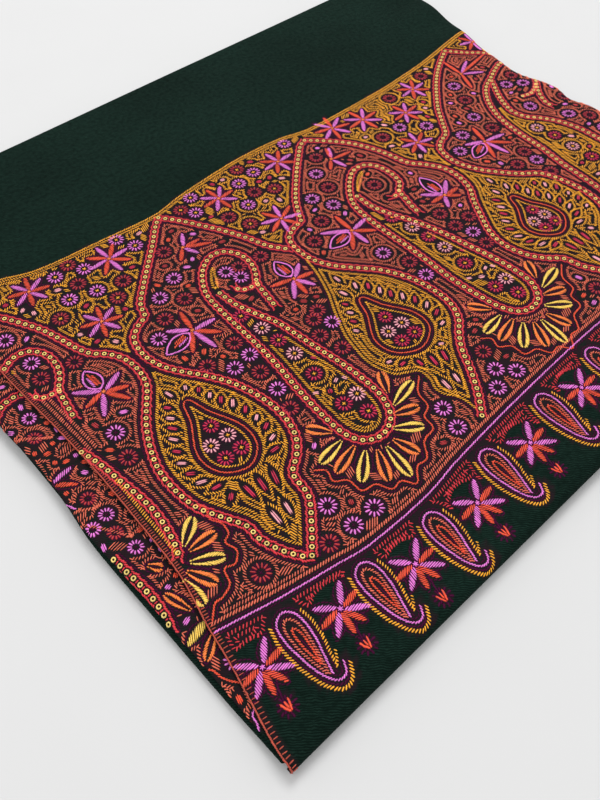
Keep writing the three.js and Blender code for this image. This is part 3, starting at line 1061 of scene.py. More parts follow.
    def fill_rows(self, kind, thread, first=1.4, apart=2.4, length=2.9, lean=52, spacing=1.6):
        """Rows of slanting stitches that follow the outlines of what is already worked."""
        room = self.room(kind)
        level = first
        while level < GROUND_REACH * CELL and (room > level).any():
            for line in contour_lines(room, level):
                line = self.low + line * CELL
                way = np.hypot(*np.diff(line, axis=0).T).sum()
                if way > 20:
                    self.rope(thread, line, length, lean, spacing, 0.76, 0.48)
                elif way > 1:
                    self.hatch(thread, line)
            level += apart

    def hatch(self, thread, line, spacing=1.5, reach=1.1):
        """Slanting stitches across a small closed line, side by side down its length."""
        middle = line.mean(axis=0)
        spread = line - middle
        _, axes = np.linalg.eigh(spread.T @ spread)
        long, short = axes[:, 1], axes[:, 0]
        along, across = spread @ long, spread @ short
        count = max(1, int(round((np.ptp(along) + reach) / spacing)))
        at = (np.arange(count) - (count - 1) / 2) * spacing
        oval = np.sqrt(np.maximum(1 - (2 * at / (np.ptp(along) + 2 * reach)) ** 2, 0.1))
        half = 0.5 * np.ptp(across) * oval + reach
        foot = middle + at[:, None] * long
        way = half[:, None] * (short + 0.6 * long)
        self.lay(thread, foot - way, foot + way, 0.78, 0.48)

    def worked(self, u, v):
        """How far the cloth at these places is covered, 0 to 1."""
        rows, columns, inside = self.cells(np.stack([u, v], 1))
        covered = self.taken | (self.ground > 0)
        found = np.zeros(len(rows))
        found[inside] = covered[rows[inside], columns[inside]]
        return found


def widest(room):
    """The row and column of the cell with most room."""
    return np.unravel_index(np.argmax(room), room.shape)


def contour_lines(field, level):
    """Closed lines along which a field of numbers passes a level, as columns and rows."""
    high = field > level
    height, width = field.shape
    flat = high[:, :-1] != high[:, 1:]
    upright = high[:-1] != high[1:]
    flags = np.stack([flat[:-1], upright[:, 1:], flat[1:], upright[:, :-1]], -1)
    i, j = np.meshgrid(np.arange(height - 1), np.arange(width - 1), indexing="ij")
    shift = height * width
    cell = i * width + j
    names = np.stack([cell, shift + cell + 1, cell + width, shift + cell], -1)
    count = flags.sum(-1)
    pairs = names[count == 2][flags[count == 2]].reshape(-1, 2)
    saddles = names[count == 4]
    pairs = np.concatenate([pairs, saddles[:, [0, 1]], saddles[:, [2, 3]]])
    meets = {}
    for a, b in pairs.tolist():
        meets.setdefault(a, []).append(b)
        meets.setdefault(b, []).append(a)

    def place(edge):
        on_upright, edge = divmod(edge, shift)
        row, column = divmod(edge, width)
        here = field[row, column]
        there = field[row + 1, column] if on_upright else field[row, column + 1]
        share = (level - here) / (there - here)
        return (column, row + share) if on_upright else (column + share, row)

    lines = []
    while meets:
        first = next(iter(meets))
        line, edge = [], first
        while edge in meets:
            line.append(place(edge))
            after = [n for n in meets.pop(edge) if n in meets]
            if not after:
                break
            edge = after[0]
        line.append(line[0])
        lines.append(high_on_left(np.array(line), field))
    return lines


def high_on_left(line, field):
    """The line with the higher side of the field on its left, softened a little."""
    for _ in range(2):
        line[1:-1] = (line[:-2] + 2 * line[1:-1] + line[2:]) / 4
    if len(line) < 6:
        return line
    middle = len(line) // 2
    way = line[middle + 1] - line[middle - 1]
    side = line[middle] + left_of(way) / max(np.hypot(*way), 1e-6) * 1.5
    here, there = (
        field[tuple(np.clip(np.round(at[::-1]).astype(int), 0, np.array(field.shape) - 1))]
        for at in (line[middle], side)
    )
    return line if there >= here else line[::-1]


# ----------------------------------------------------------
# Stitches as pieces
# ----------------------------------------------------------

CLOTH_FACE = 0.2  # of the worked cloth above its middle, a little sunk
STRAY = 0.09  # how far a stitch's ends stray
SHOULDER = 0.46  # a grain is full from so far in on each half
EDGE_SLACK = 0.3  # stitches reach so far past the left edge, and stop so short of the others
MOST_STITCHES = 15000  # in one piece
GRAIN_POINTS = 8
SEW_SEED = 11


def thread_starts(count):
    """Where along the thread's own pattern each stitch starts."""
    return np.arange(count) * 7.31 % 900


def thread_layers(points, place):
    """The UV maps of stitches: along the thread, and a plan to bake on."""
    bake = (points[..., :2] + BAKE_MARGIN) / BAKE_PLAN
    return {"Thread": place.reshape(-1, 2), "OFBake": bake.reshape(-1, 2)}


def grains(leaf, rows, chance):
    """Points, faces, UV places and tone of stitches: each is a slim grain that ends in the cloth."""
    count = len(rows)
    start = rows[:, 0:2] + chance.normal(0, STRAY, (count, 2))
    end = rows[:, 2:4] + chance.normal(0, STRAY, (count, 2))
    width = rows[:, 4] * chance.uniform(0.85, 1.12, count)
    height = rows[:, 5] * chance.uniform(0.8, 1.1, count)
    middle = (start + end) / 2
    out = leaf.normal(middle[:, 0], middle[:, 1])
    a = leaf.at(start[:, 0], start[:, 1]) + out * CLOTH_FACE
    b = leaf.at(end[:, 0], end[:, 1]) + out * CLOTH_FACE
    m = leaf.at(middle[:, 0], middle[:, 1]) + out * CLOTH_FACE
    way = b - a
    length = np.linalg.norm(way, axis=1, keepdims=True)
    way /= np.where(length > 1e-6, length, 1)
    side = np.cross(out, way)
    shoulders = [a + (m - a) * SHOULDER, b + (m - b) * SHOULDER]
    points = [a]
    for shoulder in shoulders:
        points += [
            shoulder - side * width[:, None] / 2,
            shoulder + out * height[:, None],
            shoulder + side * width[:, None] / 2,
        ]
    points.append(b)
    points = np.stack(points, 1)
    pattern = np.array([
        (0, 2, 1), (0, 3, 2), (0, 1, 3), (1, 2, 5), (1, 5, 4), (2, 3, 6), (2, 6, 5), (3, 1, 4), (3, 4, 6),
        (7, 4, 5), (7, 5, 6), (7, 6, 4),
    ])
    faces = (pattern[None, :, ::-1] + np.arange(count)[:, None, None] * GRAIN_POINTS).reshape(-1, 3)
    shares = np.array([0, 0.23, 0.23, 0.23, 0.77, 0.77, 0.77, 1])
    across = np.array([0.5, 0, 0.5, 1, 0, 0.5, 1, 0.5])
    along = shares[None] * length + thread_starts(count)[:, None]
    place = np.stack([along, np.broadcast_to(across, (count, GRAIN_POINTS))], -1)
    tone = np.repeat(0.25 + 0.5 * chance.rand(count), GRAIN_POINTS)
    return points.reshape(-1, 3), faces, thread_layers(points, place), tone


def ring_beads(leaf, centres, chance, outer=1.55, inner=0.55, height=0.5):
    """Small eyelet stitches, each a ring lying on the cloth."""
    count = len(centres)
    out = leaf.normal(centres[:, 0], centres[:, 1])
    middle = leaf.at(centres[:, 0], centres[:, 1]) + out * CLOTH_FACE
    side = leaf.at(centres[:, 0] + 0.5, centres[:, 1]) + out * CLOTH_FACE - middle
    side /= np.linalg.norm(side, axis=1, keepdims=True)
    along = np.cross(out, side)
    turns = 8
    angle = np.arange(turns) / turns * 2 * math.pi
    arms = side[:, None] * np.cos(angle)[None, :, None] + along[:, None] * np.sin(angle)[None, :, None]
    profile = [(outer, 0.0), ((outer + inner) / 2, height), (inner, 0.0)]
    rings = [middle[:, None] + arms * r + out[:, None] * h for r, h in profile]
    points = np.stack(rings, 2).reshape(count, turns * 3, 3)
    k = np.arange(turns)
    after = (k + 1) % turns
    pattern = []
    for one, other in ((0, 1), (1, 2), (2, 0)):
        pattern += [np.stack([k * 3 + one, after * 3 + one, after * 3 + other], 1),
                    np.stack([k * 3 + one, after * 3 + other, k * 3 + other], 1)]
    pattern = np.concatenate(pattern)
    faces = (pattern[None] + np.arange(count)[:, None, None] * (turns * 3)).reshape(-1, 3)
    place = np.stack([np.repeat(k, 3) * 0.8, np.tile([0, 0.5, 1], turns)], 1)
    starts = thread_starts(count)[:, None, None] * [1, 0]
    place = np.broadcast_to(place, (count, turns * 3, 2)) + starts
    tone = np.repeat(0.3 + 0.5 * chance.rand(count), turns * 3)
    return points.reshape(-1, 3), faces, thread_layers(points, place), tone


def sew(work, prefix, threads):
    """The stitches of a leaf as pieces, one or more for each thread."""
    chance = np.random.RandomState(SEW_SEED)
    pieces = []

    def add(name, thread, points, faces, layers, tone):
        pieces.append(mesh_piece(name, to_frame(points), faces, layers, threads[thread], {"tone": tone}))

    for thread, runs in work.stitches.items():
        rows = np.concatenate(runs)
        rows = rows[on_cloth(work.leaf, rows)]
        if not len(rows):
            continue
        rows = rows[np.argsort(rows[:, 0], kind="stable")]
        parts = int(math.ceil(len(rows) / MOST_STITCHES))
        for k, part in enumerate(np.array_split(rows, parts)):
            name = f"{prefix}_{thread}_{k + 1}" if parts > 1 else f"{prefix}_{thread}"
            add(name, thread, *grains(work.leaf, part, chance))
    for thread, runs in work.rings.items():
        centres = np.concatenate(runs)
        centres = centres[on_cloth(work.leaf, np.hstack([centres, centres]))]
        add(f"{prefix}_{thread}_rings", thread, *ring_beads(work.leaf, centres, chance))
    return pieces


def on_cloth(leaf, rows):
    """Which stitches lie wholly on a leaf's cloth."""
    inside = np.ones(len(rows), bool)
    for u, v in ((rows[:, 0], rows[:, 1]), (rows[:, 2], rows[:, 3])):
        flat_v = np.clip(v, leaf.v_low, leaf.v_high)
        low, high = leaf.u_limits(flat_v)
        inside &= (u > low - leaf.left.length - EDGE_SLACK) & (u < high + leaf.right.length - EDGE_SLACK)
        inside &= v > leaf.v_low - leaf.front.length + EDGE_SLACK
        inside &= v < leaf.v_high + leaf.back.length - EDGE_SLACK
    return inside


# ----------------------------------------------------------
# The border's pattern
# ----------------------------------------------------------

TERRACOTTA, GOLD, HEM = 1, 2, 3  # kinds of ground

# Outlines of the arches, from tip to tip
ARCHES = [
    [(34, 323), (27, 311), (17, 296)],
    [(34, 323), (44, 311), (52, 297), (58, 284), (62, 270), (65, 258), (69, 249), (76, 242), (81, 232),
     (82, 220), (79, 208), (71, 197), (62, 185), (54, 170), (49, 155), (48, 140), (50, 125), (56, 112),
     (62, 100), (62, 90), (66, 78), (72, 68), (75, 66)],
    [(75, 66), (86, 78), (97, 92), (100, 107), (110, 115), (118, 125), (122, 140), (121, 157), (116, 175),
     (108, 190), (99, 203), (93, 215), (91, 228), (94, 241), (102, 248), (110, 252), (114, 262),
     (126, 275), (140, 289), (153, 302), (163, 313), (171, 320)],
    [(171, 320), (179, 309), (187, 295), (195, 280), (202, 264), (207, 249), (213, 240), (217, 235)],
    [(203, 64), (214, 76), (224, 90), (232, 103), (241, 113), (250, 121), (256, 133), (257, 148),
     (254, 165), (246, 182), (236, 194), (226, 206), (220, 219), (219, 234), (223, 245), (232, 250),
     (240, 252), (244, 258), (252, 270), (264, 283), (277, 296), (289, 307), (297, 314), (304, 317)],
    [(304, 317), (316, 305), (327, 291), (334, 276), (338, 262), (341, 247), (349, 236), (355, 225),
     (356, 212), (352, 198), (343, 186), (334, 172), (326, 158), (323, 143), (326, 128), (333, 117),
     (341, 109), (344, 97), (350, 85), (356, 72), (361, 66)],
    [(361, 66), (372, 78), (383, 92), (387, 105), (397, 113), (405, 123), (409, 138), (408, 155),
     (403, 172), (390, 184), (380, 196), (372, 208), (367, 225), (370, 240), (378, 247), (388, 251),
     (397, 262), (408, 276), (420, 288), (433, 300), (447, 311), (461, 320), (470, 325), (476, 328)],
    [(476, 328), (485, 318), (495, 308), (503, 298), (512, 286)],
]

# The second teardrop's left side is a line of gold stems
SECOND_DROP_LEFT = [
    (217, 222), (213, 207), (206, 190), (199.5, 178.5), (194, 168), (189, 157.5), (186.3, 147), (184.4, 136),
    (185.6, 126), (189.5, 117), (196, 113), (201.5, 109), (201.5, 101), (198.5, 94), (199.5, 88), (203, 83),
    (204.5, 77), (204.5, 70),
]

# Outlines of the paisleys, from the inside of the neck round the foot and over the hook
PAISLEY = [
    (156, 236), (157, 222), (161, 208), (166, 193), (168, 178), (170, 160), (172, 145), (173, 128),
    (172, 112), (167, 100), (159, 94), (150, 93), (142, 98), (138, 108), (138, 125), (140, 145),
    (143, 165), (145, 185), (146, 205), (147, 225), (149, 240), (155, 252), (163, 261), (173, 266),
    (182, 264), (188, 255), (188, 243), (184, 234), (179, 227), (177, 218), (175, 208), (174, 202),
]
PAISLEY_CURL = [(179, 227), (172, 227), (167, 230), (167, 236)]
SECOND_PAISLEY = [
    (287, 245), (287, 230), (291, 215), (297, 200), (302, 180), (305, 160), (308, 140), (309, 120),
    (307, 108), (299, 98), (289, 96), (281, 100), (276, 110), (274, 125), (273, 145), (274, 165),
    (275, 185), (275, 205), (276, 225), (279, 240), (286, 251), (296, 261), (306, 267), (316, 266),
    (322, 258), (323, 245), (320, 235), (313, 229), (310, 220), (307, 210), (306, 202),
]
SECOND_CURL = [(313, 229), (306, 227), (302, 229)]
THIRD_PAISLEY = [
    (470, 273), (463, 263.5), (455.5, 253), (450, 242), (448, 234), (450.5, 224), (457, 216), (462, 207),
    (465.5, 195), (468.5, 178), (468, 150), (465, 125), (459, 107), (449, 97), (437, 94), (427, 98),
    (420, 108), (418, 125), (421, 150), (423, 170), (427, 190), (429, 210), (432, 228), (437, 243),
    (446, 257.5), (459, 270), (472, 276), (486, 282), (498, 285), (510, 284),
]
THIRD_CURL = [(470, 242), (478, 240), (487, 243), (494, 248)]
THIRD_HOOK = [(508, 262), (500, 253), (494, 247), (486, 239.5), (480.5, 232), (477.5, 224), (478.5, 217)]

# The first paisley, whose neck and foot the selvage cuts
FIRST_BODY = [
    (25.5, 193), (27.5, 185), (29, 176), (30.2, 165), (31.5, 155), (32.4, 146), (32.6, 137), (31.6, 128),
    (29.6, 118.5), (27.4, 111.5), (23.8, 107.4),
]

# Petals of a paisley's fan: thread, root and tip
FAN = [
    ("orange", (134, 112), (125, 124)), ("yellow", (134, 105), (115, 102)),
    ("orange", (137, 98), (117, 92)), ("yellow", (139, 92), (123, 79)),
    ("orange", (144, 88), (134, 70)), ("yellow", (149, 86), (145, 64)),
    ("orange", (155, 87), (159, 71)), ("yellow", (160, 92), (174, 81)),
    ("orange", (167, 98), (182, 92)), ("yellow", (172, 102), (193, 107)),
    ("orange", (176, 110), (184, 124)),
]
FAN_PETAL = 7.2  # width

PINK_LINE = [
    (2, 70), (15, 68), (50, 60), (80, 54.5), (100, 51), (140, 50.5), (170, 54), (210, 57), (250, 59),
    (300, 60.5), (360, 60), (420, 60.5), (480, 60), (512, 60),
]
GOLD_WAVE = [
    (18, 350), (40, 344), (60, 340), (85, 331), (130, 327), (170, 324), (200, 329), (250, 333),
    (290, 331), (320, 325), (390, 325), (420, 327), (450, 330), (490, 336), (512, 339),
]

# Flowers inside the arches: centre, tip of the eye leaf, then the petals' tips, violet and red
ARCH_STARS = [
    ((124, 223), (102, 218), [(140, 221), (112, 233), (126, 203)], [(128, 240), (113, 209), (136, 210)]),
    ((199, 214), (200, 233), [(187, 201), (211, 222), (205, 201)], [(183, 219), (196, 199), (212, 210)]),
    ((58, 220), (58, 239), [(44, 231), (73, 226), (48, 205)], [(66, 206), (44, 217), (71, 214)]),
    ((259, 222), (237, 219), [(275, 224), (241, 234), (258, 206)], [(261, 240), (246, 208), (271, 211)]),
    ((333, 204), (334, 228), [(321, 216), (346, 214), (325, 194)], [(341, 196), (320, 205), (346, 203)]),
    ((402, 225), (382, 217), [(420, 221), (388, 232), (404, 204)], [(409, 242), (392, 207), (416, 210)]),
]
SMALL_STARS = [
    ((165, 285), [(173, 296), (169, 274)], [(156, 276), (178, 284), (182, 276)]),
    ((303, 287), [(311, 298), (305, 274)], [(320, 284), (309, 299), (294, 279)]),
    ((459, 296), [(478, 306), (474, 285)], [(498, 303), (463, 318), (450, 277)]),
]
SPANDREL_STARS = [
    (123, 309), (88, 266), (214, 308), (232, 263), (272, 311), (69, 318), (355, 306), (364, 258),
    (414, 308), (330, 314), (386, 290), (505, 322),
]
VIOLET_ROSETTES = [
    (84, 295), (101, 290), (106, 312), (88, 318), (137, 321), (143, 308), (200, 322), (193, 307),
    (225, 289), (143, 266), (126, 258), (105, 231), (124, 183), (137, 185), (132, 155), (191, 171),
    (171, 248), (175, 238), (100, 81), (102, 64), (191, 82), (187, 68), (235, 80), (243, 71),
    (475, 262), (486, 254), (235, 311), (251, 314), (290, 324), (283, 282), (262, 264), (413, 185),
    (39, 266), (318, 166), (264, 160),
]
MAROON_ROSETTES = [
    (107, 276), (100, 322), (187, 316), (213, 273), (250, 290), (244, 324), (153, 290), (137, 247),
    (113, 195), (136, 198), (133, 171), (128, 140), (197, 244), (184, 180), (180, 246), (86, 65),
    (37, 252), (58, 250), (71, 285), (296, 296), (233, 231), (414, 197), (398, 191), (410, 170),
    (487, 191), (328, 178), (314, 178), (316, 153), (265, 175), (489, 268), (191, 184), (178, 168),
    (181, 152),
]

# Small paisleys that hang in the hem row: the middle of each, and its top and foot
HEM_PAISLEYS = [
    (43, 54, 14), (88, 47, 8.5), (133, 43.5, 6), (184, 49, 11.5), (236, 52, 13), (286, 53, 14),
    (335, 53, 13.5), (384, 53, 14), (433, 53, 13.5), (482, 53, 14),
]
HEM_STARS = [
    (20.8, 41), (66, 37), (109, 28.5), (158, 30), (208, 34.5), (260, 38), (310.5, 38), (359.5, 38),
    (408.5, 38), (457.5, 38), (503, 38),
]
# A hem star's petals: thread, angle in degrees and length
HEM_STAR = [
    ("violet", 44, 14), ("violet", 135, 13), ("violet", 217, 14), ("violet", -40, 14.5),
    ("red", 2, 12.5), ("red", 180, 13), ("red", -72, 13), ("red", -108, 13.5),
]

# The first fan, which the selvage cuts
FIRST_FAN = [
    ("yellow", (31, 111.5), (45, 122)), ("orange", (31.5, 108), (48, 107.5)),
    ("yellow", (28, 103), (43, 94)), ("orange", (24, 100.5), (31.5, 85.5)), ("yellow", (20.4, 98), (20, 81)),
]
FIRST_SCALLOP = [
    (50, 127), (53, 122), (50.5, 115.5), (53.5, 109.5), (52.5, 103), (48, 100), (49.5, 93), (44.5, 88),
    (38.5, 89), (35.5, 81.5), (28.5, 78.5), (24, 78.5), (18, 73),
]


def drop_shape(top, foot, left, right):
    """A closed drop with a pointed top and a round foot."""
    (tu, tv), (fu, fv) = top, foot
    low = fv + (tv - fv) * 0.33
    return smooth([(tu, tv), (tu + (right - tu) * 0.35, tv - (tv - fv) * 0.25), (right, low + 4),
                   (right - 2, fv + 7), (fu, fv), (left + 2, fv + 7), (left, low + 4),
                   (tu + (left - tu) * 0.35, tv - (tv - fv) * 0.25)], closed=True)


def lay_grounds(work):
    """Terracotta ground in the band, gold ground above the arches and in the teardrops and paisleys."""
    far = 350
    wave = smooth(GOLD_WAVE)
    pink = smooth(PINK_LINE)
    band = np.vstack([pink, wave[::-1]])
    work.lay_ground(TERRACOTTA, band)
    outside = work.ground != TERRACOTTA
    hem = work.ground.copy()
    lines = [smooth(a) for a in ARCHES]
    drop_left = smooth([(217, 235)] + SECOND_DROP_LEFT + [(203, 64)])
    for outline in (
        np.vstack([[(34, far)], lines[1], lines[2], [(171, far)]]),
        np.vstack([[(171, far)], lines[3], drop_left, lines[4], [(304, far)]]),
        np.vstack([[(304, far)], lines[5], lines[6], [(476, far)]]),
        np.vstack([[(476, far)], lines[7], [(530, 290), (530, far)]]),
        np.vstack([[(34, far)], lines[0], [(5, 290), (5, far)]]),
    ):
        work.lay_ground(GOLD, outline)
    for body in (PAISLEY, SECOND_PAISLEY, THIRD_PAISLEY, moved(PAISLEY, -139, 11)):
        work.lay_ground(GOLD, smooth(body[:24] if body is not THIRD_PAISLEY else body[3:25]))
    work.ground[outside] = hem[outside]


def work_arches(work):
    """The arches' chains, and the gold stems that are the second teardrop's left side."""
    for arch in ARCHES:
        work.bead_chain(smooth(arch))
    stem = smooth(SECOND_DROP_LEFT)
    work.rope("gold", stem, 3.0, 46, 1.6, 0.8, 0.48, cover=1.2)
    work.shade(beside(stem, -1.9), cover=0.8)


def work_paisley(work, outline, curl):
    """A paisley's chained outline and the curl inside its hook."""
    work.bead_chain(smooth(outline))
    work.bead_chain(smooth(curl), 1.5)


def work_fan(work, petals, scallop):
    """A fan of satin petals round a paisley's foot, with scalloped lines outside it."""
    for thread, root, tip in petals:
        work.petal(thread, root, tip, FAN_PETAL, slit=True)
    work.rope("red", scallop, 2.6, 26, 1.35, 0.85, cover=0.9)
    for distance in (-1.9, 1.9):
        work.shade(beside(scallop, distance), cover=0.7)


def scallop_round(petals, middle, reach=5.0, dip=3.4):
    """A scalloped line that passes outside the petals' tips and dips between them."""
    middle = np.asarray(middle, float)
    tips = [np.asarray(tip, float) for _, _, tip in petals]
    points = []
    for a, b in zip(tips, tips[1:] + [None]):
        points.append(a + unit(a - middle) * reach)
        if b is not None:
            notch = (a + b) / 2
            points.append(notch + unit(notch - middle) * (reach - dip))
    return smooth(points)


def flame(work, root, tip, thread, width=7.0):
    """A pointed gold leaf with a seed in it, as long as the free gold ground lets it be."""
    root, tip = np.asarray(root, float), np.asarray(tip, float)
    for share in (1.0, 0.86, 0.74, 0.64):
        way = (tip - root) * share
        rows, columns, inside = work.cells([root + way * t for t in (0.1, 0.5, 0.95)])
        free = inside.all() and not work.taken[rows, columns].any()
        if free and (work.ground[rows, columns] == GOLD).all():
            break
    else:
        return
    normal = left_of(way) / np.hypot(*way)
    for side in (-1, 1):
        half = [root + way * t + side * normal * width / 2 * reach
                for t, reach in ((-0.05, 0.45), (0.2, 0.95), (0.5, 1.0), (0.8, 0.55), (1.08, 0.0))]
        work.rope("gold", smooth(half), 2.6, -side * 48, 1.55, 0.8, 0.48)
    lean = math.degrees(math.atan2(way[1], way[0]))
    work.seed(thread, root + way * 0.45, np.hypot(*way) * 0.68, lean, 2, 1.1)
    end = tip * share + root * (1 - share) + way * 0.1
    work.cover_shape(leaf_outline(root - way * 0.06, end, width), 0.8)


def work_drop(work, inner, tip, reach=44):
    """What fills a teardrop: an inner drop with rosettes, and gold leaves that stand round it."""
    shape = drop_shape(*inner)
    closed = np.vstack([shape, shape[:1]])
    work.rope("red", beside(closed, 1.7), 2.4, 26, 1.5, 0.9, cover=0.9)
    work.shade(beside(closed, 3.4), 1.0, cover=0.7)
    work.rope("gold", beside(closed, -1.9), 2.2, 46, 1.6, 0.9, cover=0.9)
    work.shade(closed, height=0.26, cover=0.7)
    (tu, tv), (fu, fv), left, right = inner
    mid, high = (left + right) / 2, tv - fv
    for u, share, radius, thread in (
        (tu - 0.3, 0.60, 5.0, "ruby"), (mid - 6, 0.41, 5.2, "rose"), (mid + 5.2, 0.40, 5.2, "rose"),
        (mid - 5.2, 0.20, 5.2, "ruby"), (mid + 5.4, 0.19, 5.2, "ruby"),
    ):
        work.rosette((u, fv + high * share), radius, thread, heart="gold")
    work.hedge(GOLD, "gold", (fu - reach, 60), (fu + reach, tv + 56))
    foot, tip = np.array([fu, fv]), np.asarray(tip, float)
    axis = tip - foot
    side = left_of(axis) / np.hypot(*axis)
    for start, stop, offsets, thread in (
        (0.13, 0.45, (-8.5, 0.5, 9.5), "ruby"), (0.50, 0.82, (-4.6, 4.6), "rose"),
    ):
        for offset in offsets:
            root = foot + axis * start + side * offset
            flame(work, root, foot + axis * stop + side * offset * 0.7, thread)
    for away, apart in ((7.6, 7.6), (20.0, 8.2)):
        ring = even(beside(np.vstack([shape, shape[:2]]), away), apart)
        outward = turned(headings(ring), 90)
        for k, (point, out) in enumerate(zip(ring, outward)):
            way = out * 0.8 + [0, 0.62]
            way /= max(np.hypot(*way), 0.3)
            flame(work, point, point + way * 11.5, "ruby" if k % 2 else "rose")


def star_petals(centre, radius, count, threads, start=0.0):
    """The petals of an even star: thread and tip."""
    angle = start + np.arange(count) / count * 2 * math.pi
    return [(threads[k % len(threads)], (centre[0] + radius * math.cos(a), centre[1] + radius * math.sin(a)))
            for k, a in enumerate(angle)]


def polar(centre, distance, degrees):
    """The point so far from a centre in one direction."""
    angle = math.radians(degrees)
    return centre[0] + distance * math.cos(angle), centre[1] + distance * math.sin(angle)


def two_colours(violet, red):
    """Petals in violet and in red: thread and tip."""
    return [("violet", tip) for tip in violet] + [("red", tip) for tip in red]


def work_flowers(work):
    """The star flowers, and the listed rosettes."""
    for centre, eye, violet, red in ARCH_STARS:
        work.star(centre, two_colours(violet, red), 4.2)
        centre, eye = np.array(centre, float), np.array(eye, float)
        way = unit(eye - centre)
        outline = leaf_outline(centre + way * 3, eye + way, 10.5)
        work.rope("violet", all_round(outline), 2.8, 22, 1.3, 1.0, 0.5)
        side = left_of(way)
        for offset, thread in ((-1.7, "red"), (0, "red"), (1.7, "violet")):
            root = centre + way * 6 + side * offset
            work.petal(thread, root, root + way * (11 - abs(offset) * 1.4), 1.6, edged=False)
        work.cover_shape(outline, 1.2)
    for centre, violet, red in SMALL_STARS:
        work.star(centre, two_colours(violet, red), 3.6)
    for k, centre in enumerate(SPANDREL_STARS):
        petals = star_petals(centre, 13.0 if k % 3 else 14.5, 8, ("violet", "red"), 0.4 * k)
        work.star(centre, petals, 3.8)
    for thread, centres in (("violet", VIOLET_ROSETTES), ("maroon", MAROON_ROSETTES)):
        for centre in centres:
            rows, columns, _ = work.cells([centre])
            on_gold = (work.ground[rows, columns] == GOLD).all()
            work.rosette(centre, 5.6, thread, heart="gold" if on_gold else "aubergine")


def work_paisley_hearts(work):
    """Rosettes in a column up each paisley."""
    for du, dv in ((0, 0), (135.5, 1)):
        for (u, v), thread in (
            ((159, 109), "ruby"), ((152.5, 122), "ruby"), ((163, 122), "rose"), ((155, 149), "ruby"),
            ((157, 168), "rose"), ((157, 182), "ruby"), ((156, 196), "rose"), ((153, 212), "ruby"),
        ):
            work.rosette((u + du, v + dv), 5.5, thread, heart="gold")
        for (u, v), thread, lean in (
            ((161, 137), "rose", 25), ((166, 135), "rose", 110), ((146, 138), "rose", 150),
            ((163, 158), "ruby", 120),
        ):
            work.seed(thread, (u + du, v + dv), 5.0, lean, 2, 1.1)
    for (u, v), thread in (
        ((443, 110), "ruby"), ((436, 125), "rose"), ((450, 126), "ruby"), ((444, 143), "rose"),
        ((446, 160), "ruby"), ((446, 177), "rose"), ((447, 194), "ruby"), ((445, 209), "rose"),
    ):
        work.rosette((u, v), 5.4, thread, heart="gold")


def work_hem(work):
    """The line under the border, and the row of small paisleys and star flowers that hang from it."""
    pink = smooth(PINK_LINE)
    work.rope("violet", pink, 2.8, 22, 1.7, 0.95, 0.5, cover=0.9)
    for distance in (1.7, -1.7):
        work.shade(beside(pink, distance), 0.95, cover=0.8)
    work.rope("terracotta", beside(pink, 4.1), 3.3, 48, 1.6, 0.95, 0.46, cover=1.4)
    for u, top, foot in HEM_PAISLEYS:
        work_small_paisley(work, u, top, foot)
    for k, (u, v) in enumerate(HEM_STARS):
        turn = 4 * math.sin(k * 2.3)
        petals = [(thread, polar((u, v), length, angle + turn)) for thread, angle, length in HEM_STAR]
        work.star((u, v), petals, 4.0, 2.2, heart="violet")
        work_bud(work, np.array([u - 3.0, v - 20.0]))
    work.lay_ground(HEM, hem_shape())
    work.ground[work.within(np.vstack([pink, [(520, 200), (-10, 200)]]))] = 0
    lay_grounds(work)


def work_bud(work, at):
    """A red bud on a dark stalk."""
    work.rope("aubergine", np.array([at + [2.2, 9], at + [0.8, 5], at + [0, 2]]), 2.4, 20, 1.0, 1.1, 0.3)
    for offset, lean, length in (
        ((0, 0.6), 90, 4.6), ((-1.7, 0.5), 105, 5.4), ((1.7, 0.5), 75, 5.4),
        ((-0.9, -1.6), 112, 3.6), ((0.9, -1.6), 68, 3.6),
    ):
        work.seed("red", at + offset, length, lean, 1, 1.35)
    for radius, count in ((2.4, 7), (4.3, 11)):
        spots = np.array([tip for _, tip in star_petals(at + [0, -0.4], radius, count, ("aubergine",))])
        way = (spots - at) / radius * 1.4
        work.lay("aubergine", spots - way, spots + way, 1.5, 0.26)


def hem_shape():
    """The ground between the border's line and the arcs over the hem's stars."""
    points = []
    paisleys = [(u, top) for u, top, _ in HEM_PAISLEYS]
    for k, (u, v) in enumerate(HEM_STARS):
        before = paisleys[k - 1] if k else (u - 24, v + 10)
        after = paisleys[k] if k < len(paisleys) else (u + 24, v + 14)
        points += [(before[0] + 9, before[1] - 17), (u - 10, v + 10.5), (u, v + 14.5), (u + 10, v + 10.5),
                   (after[0] - 9, after[1] - 17), (after[0], after[1] - 6)]
    return np.vstack([smooth(points), smooth(PINK_LINE)[::-1]])


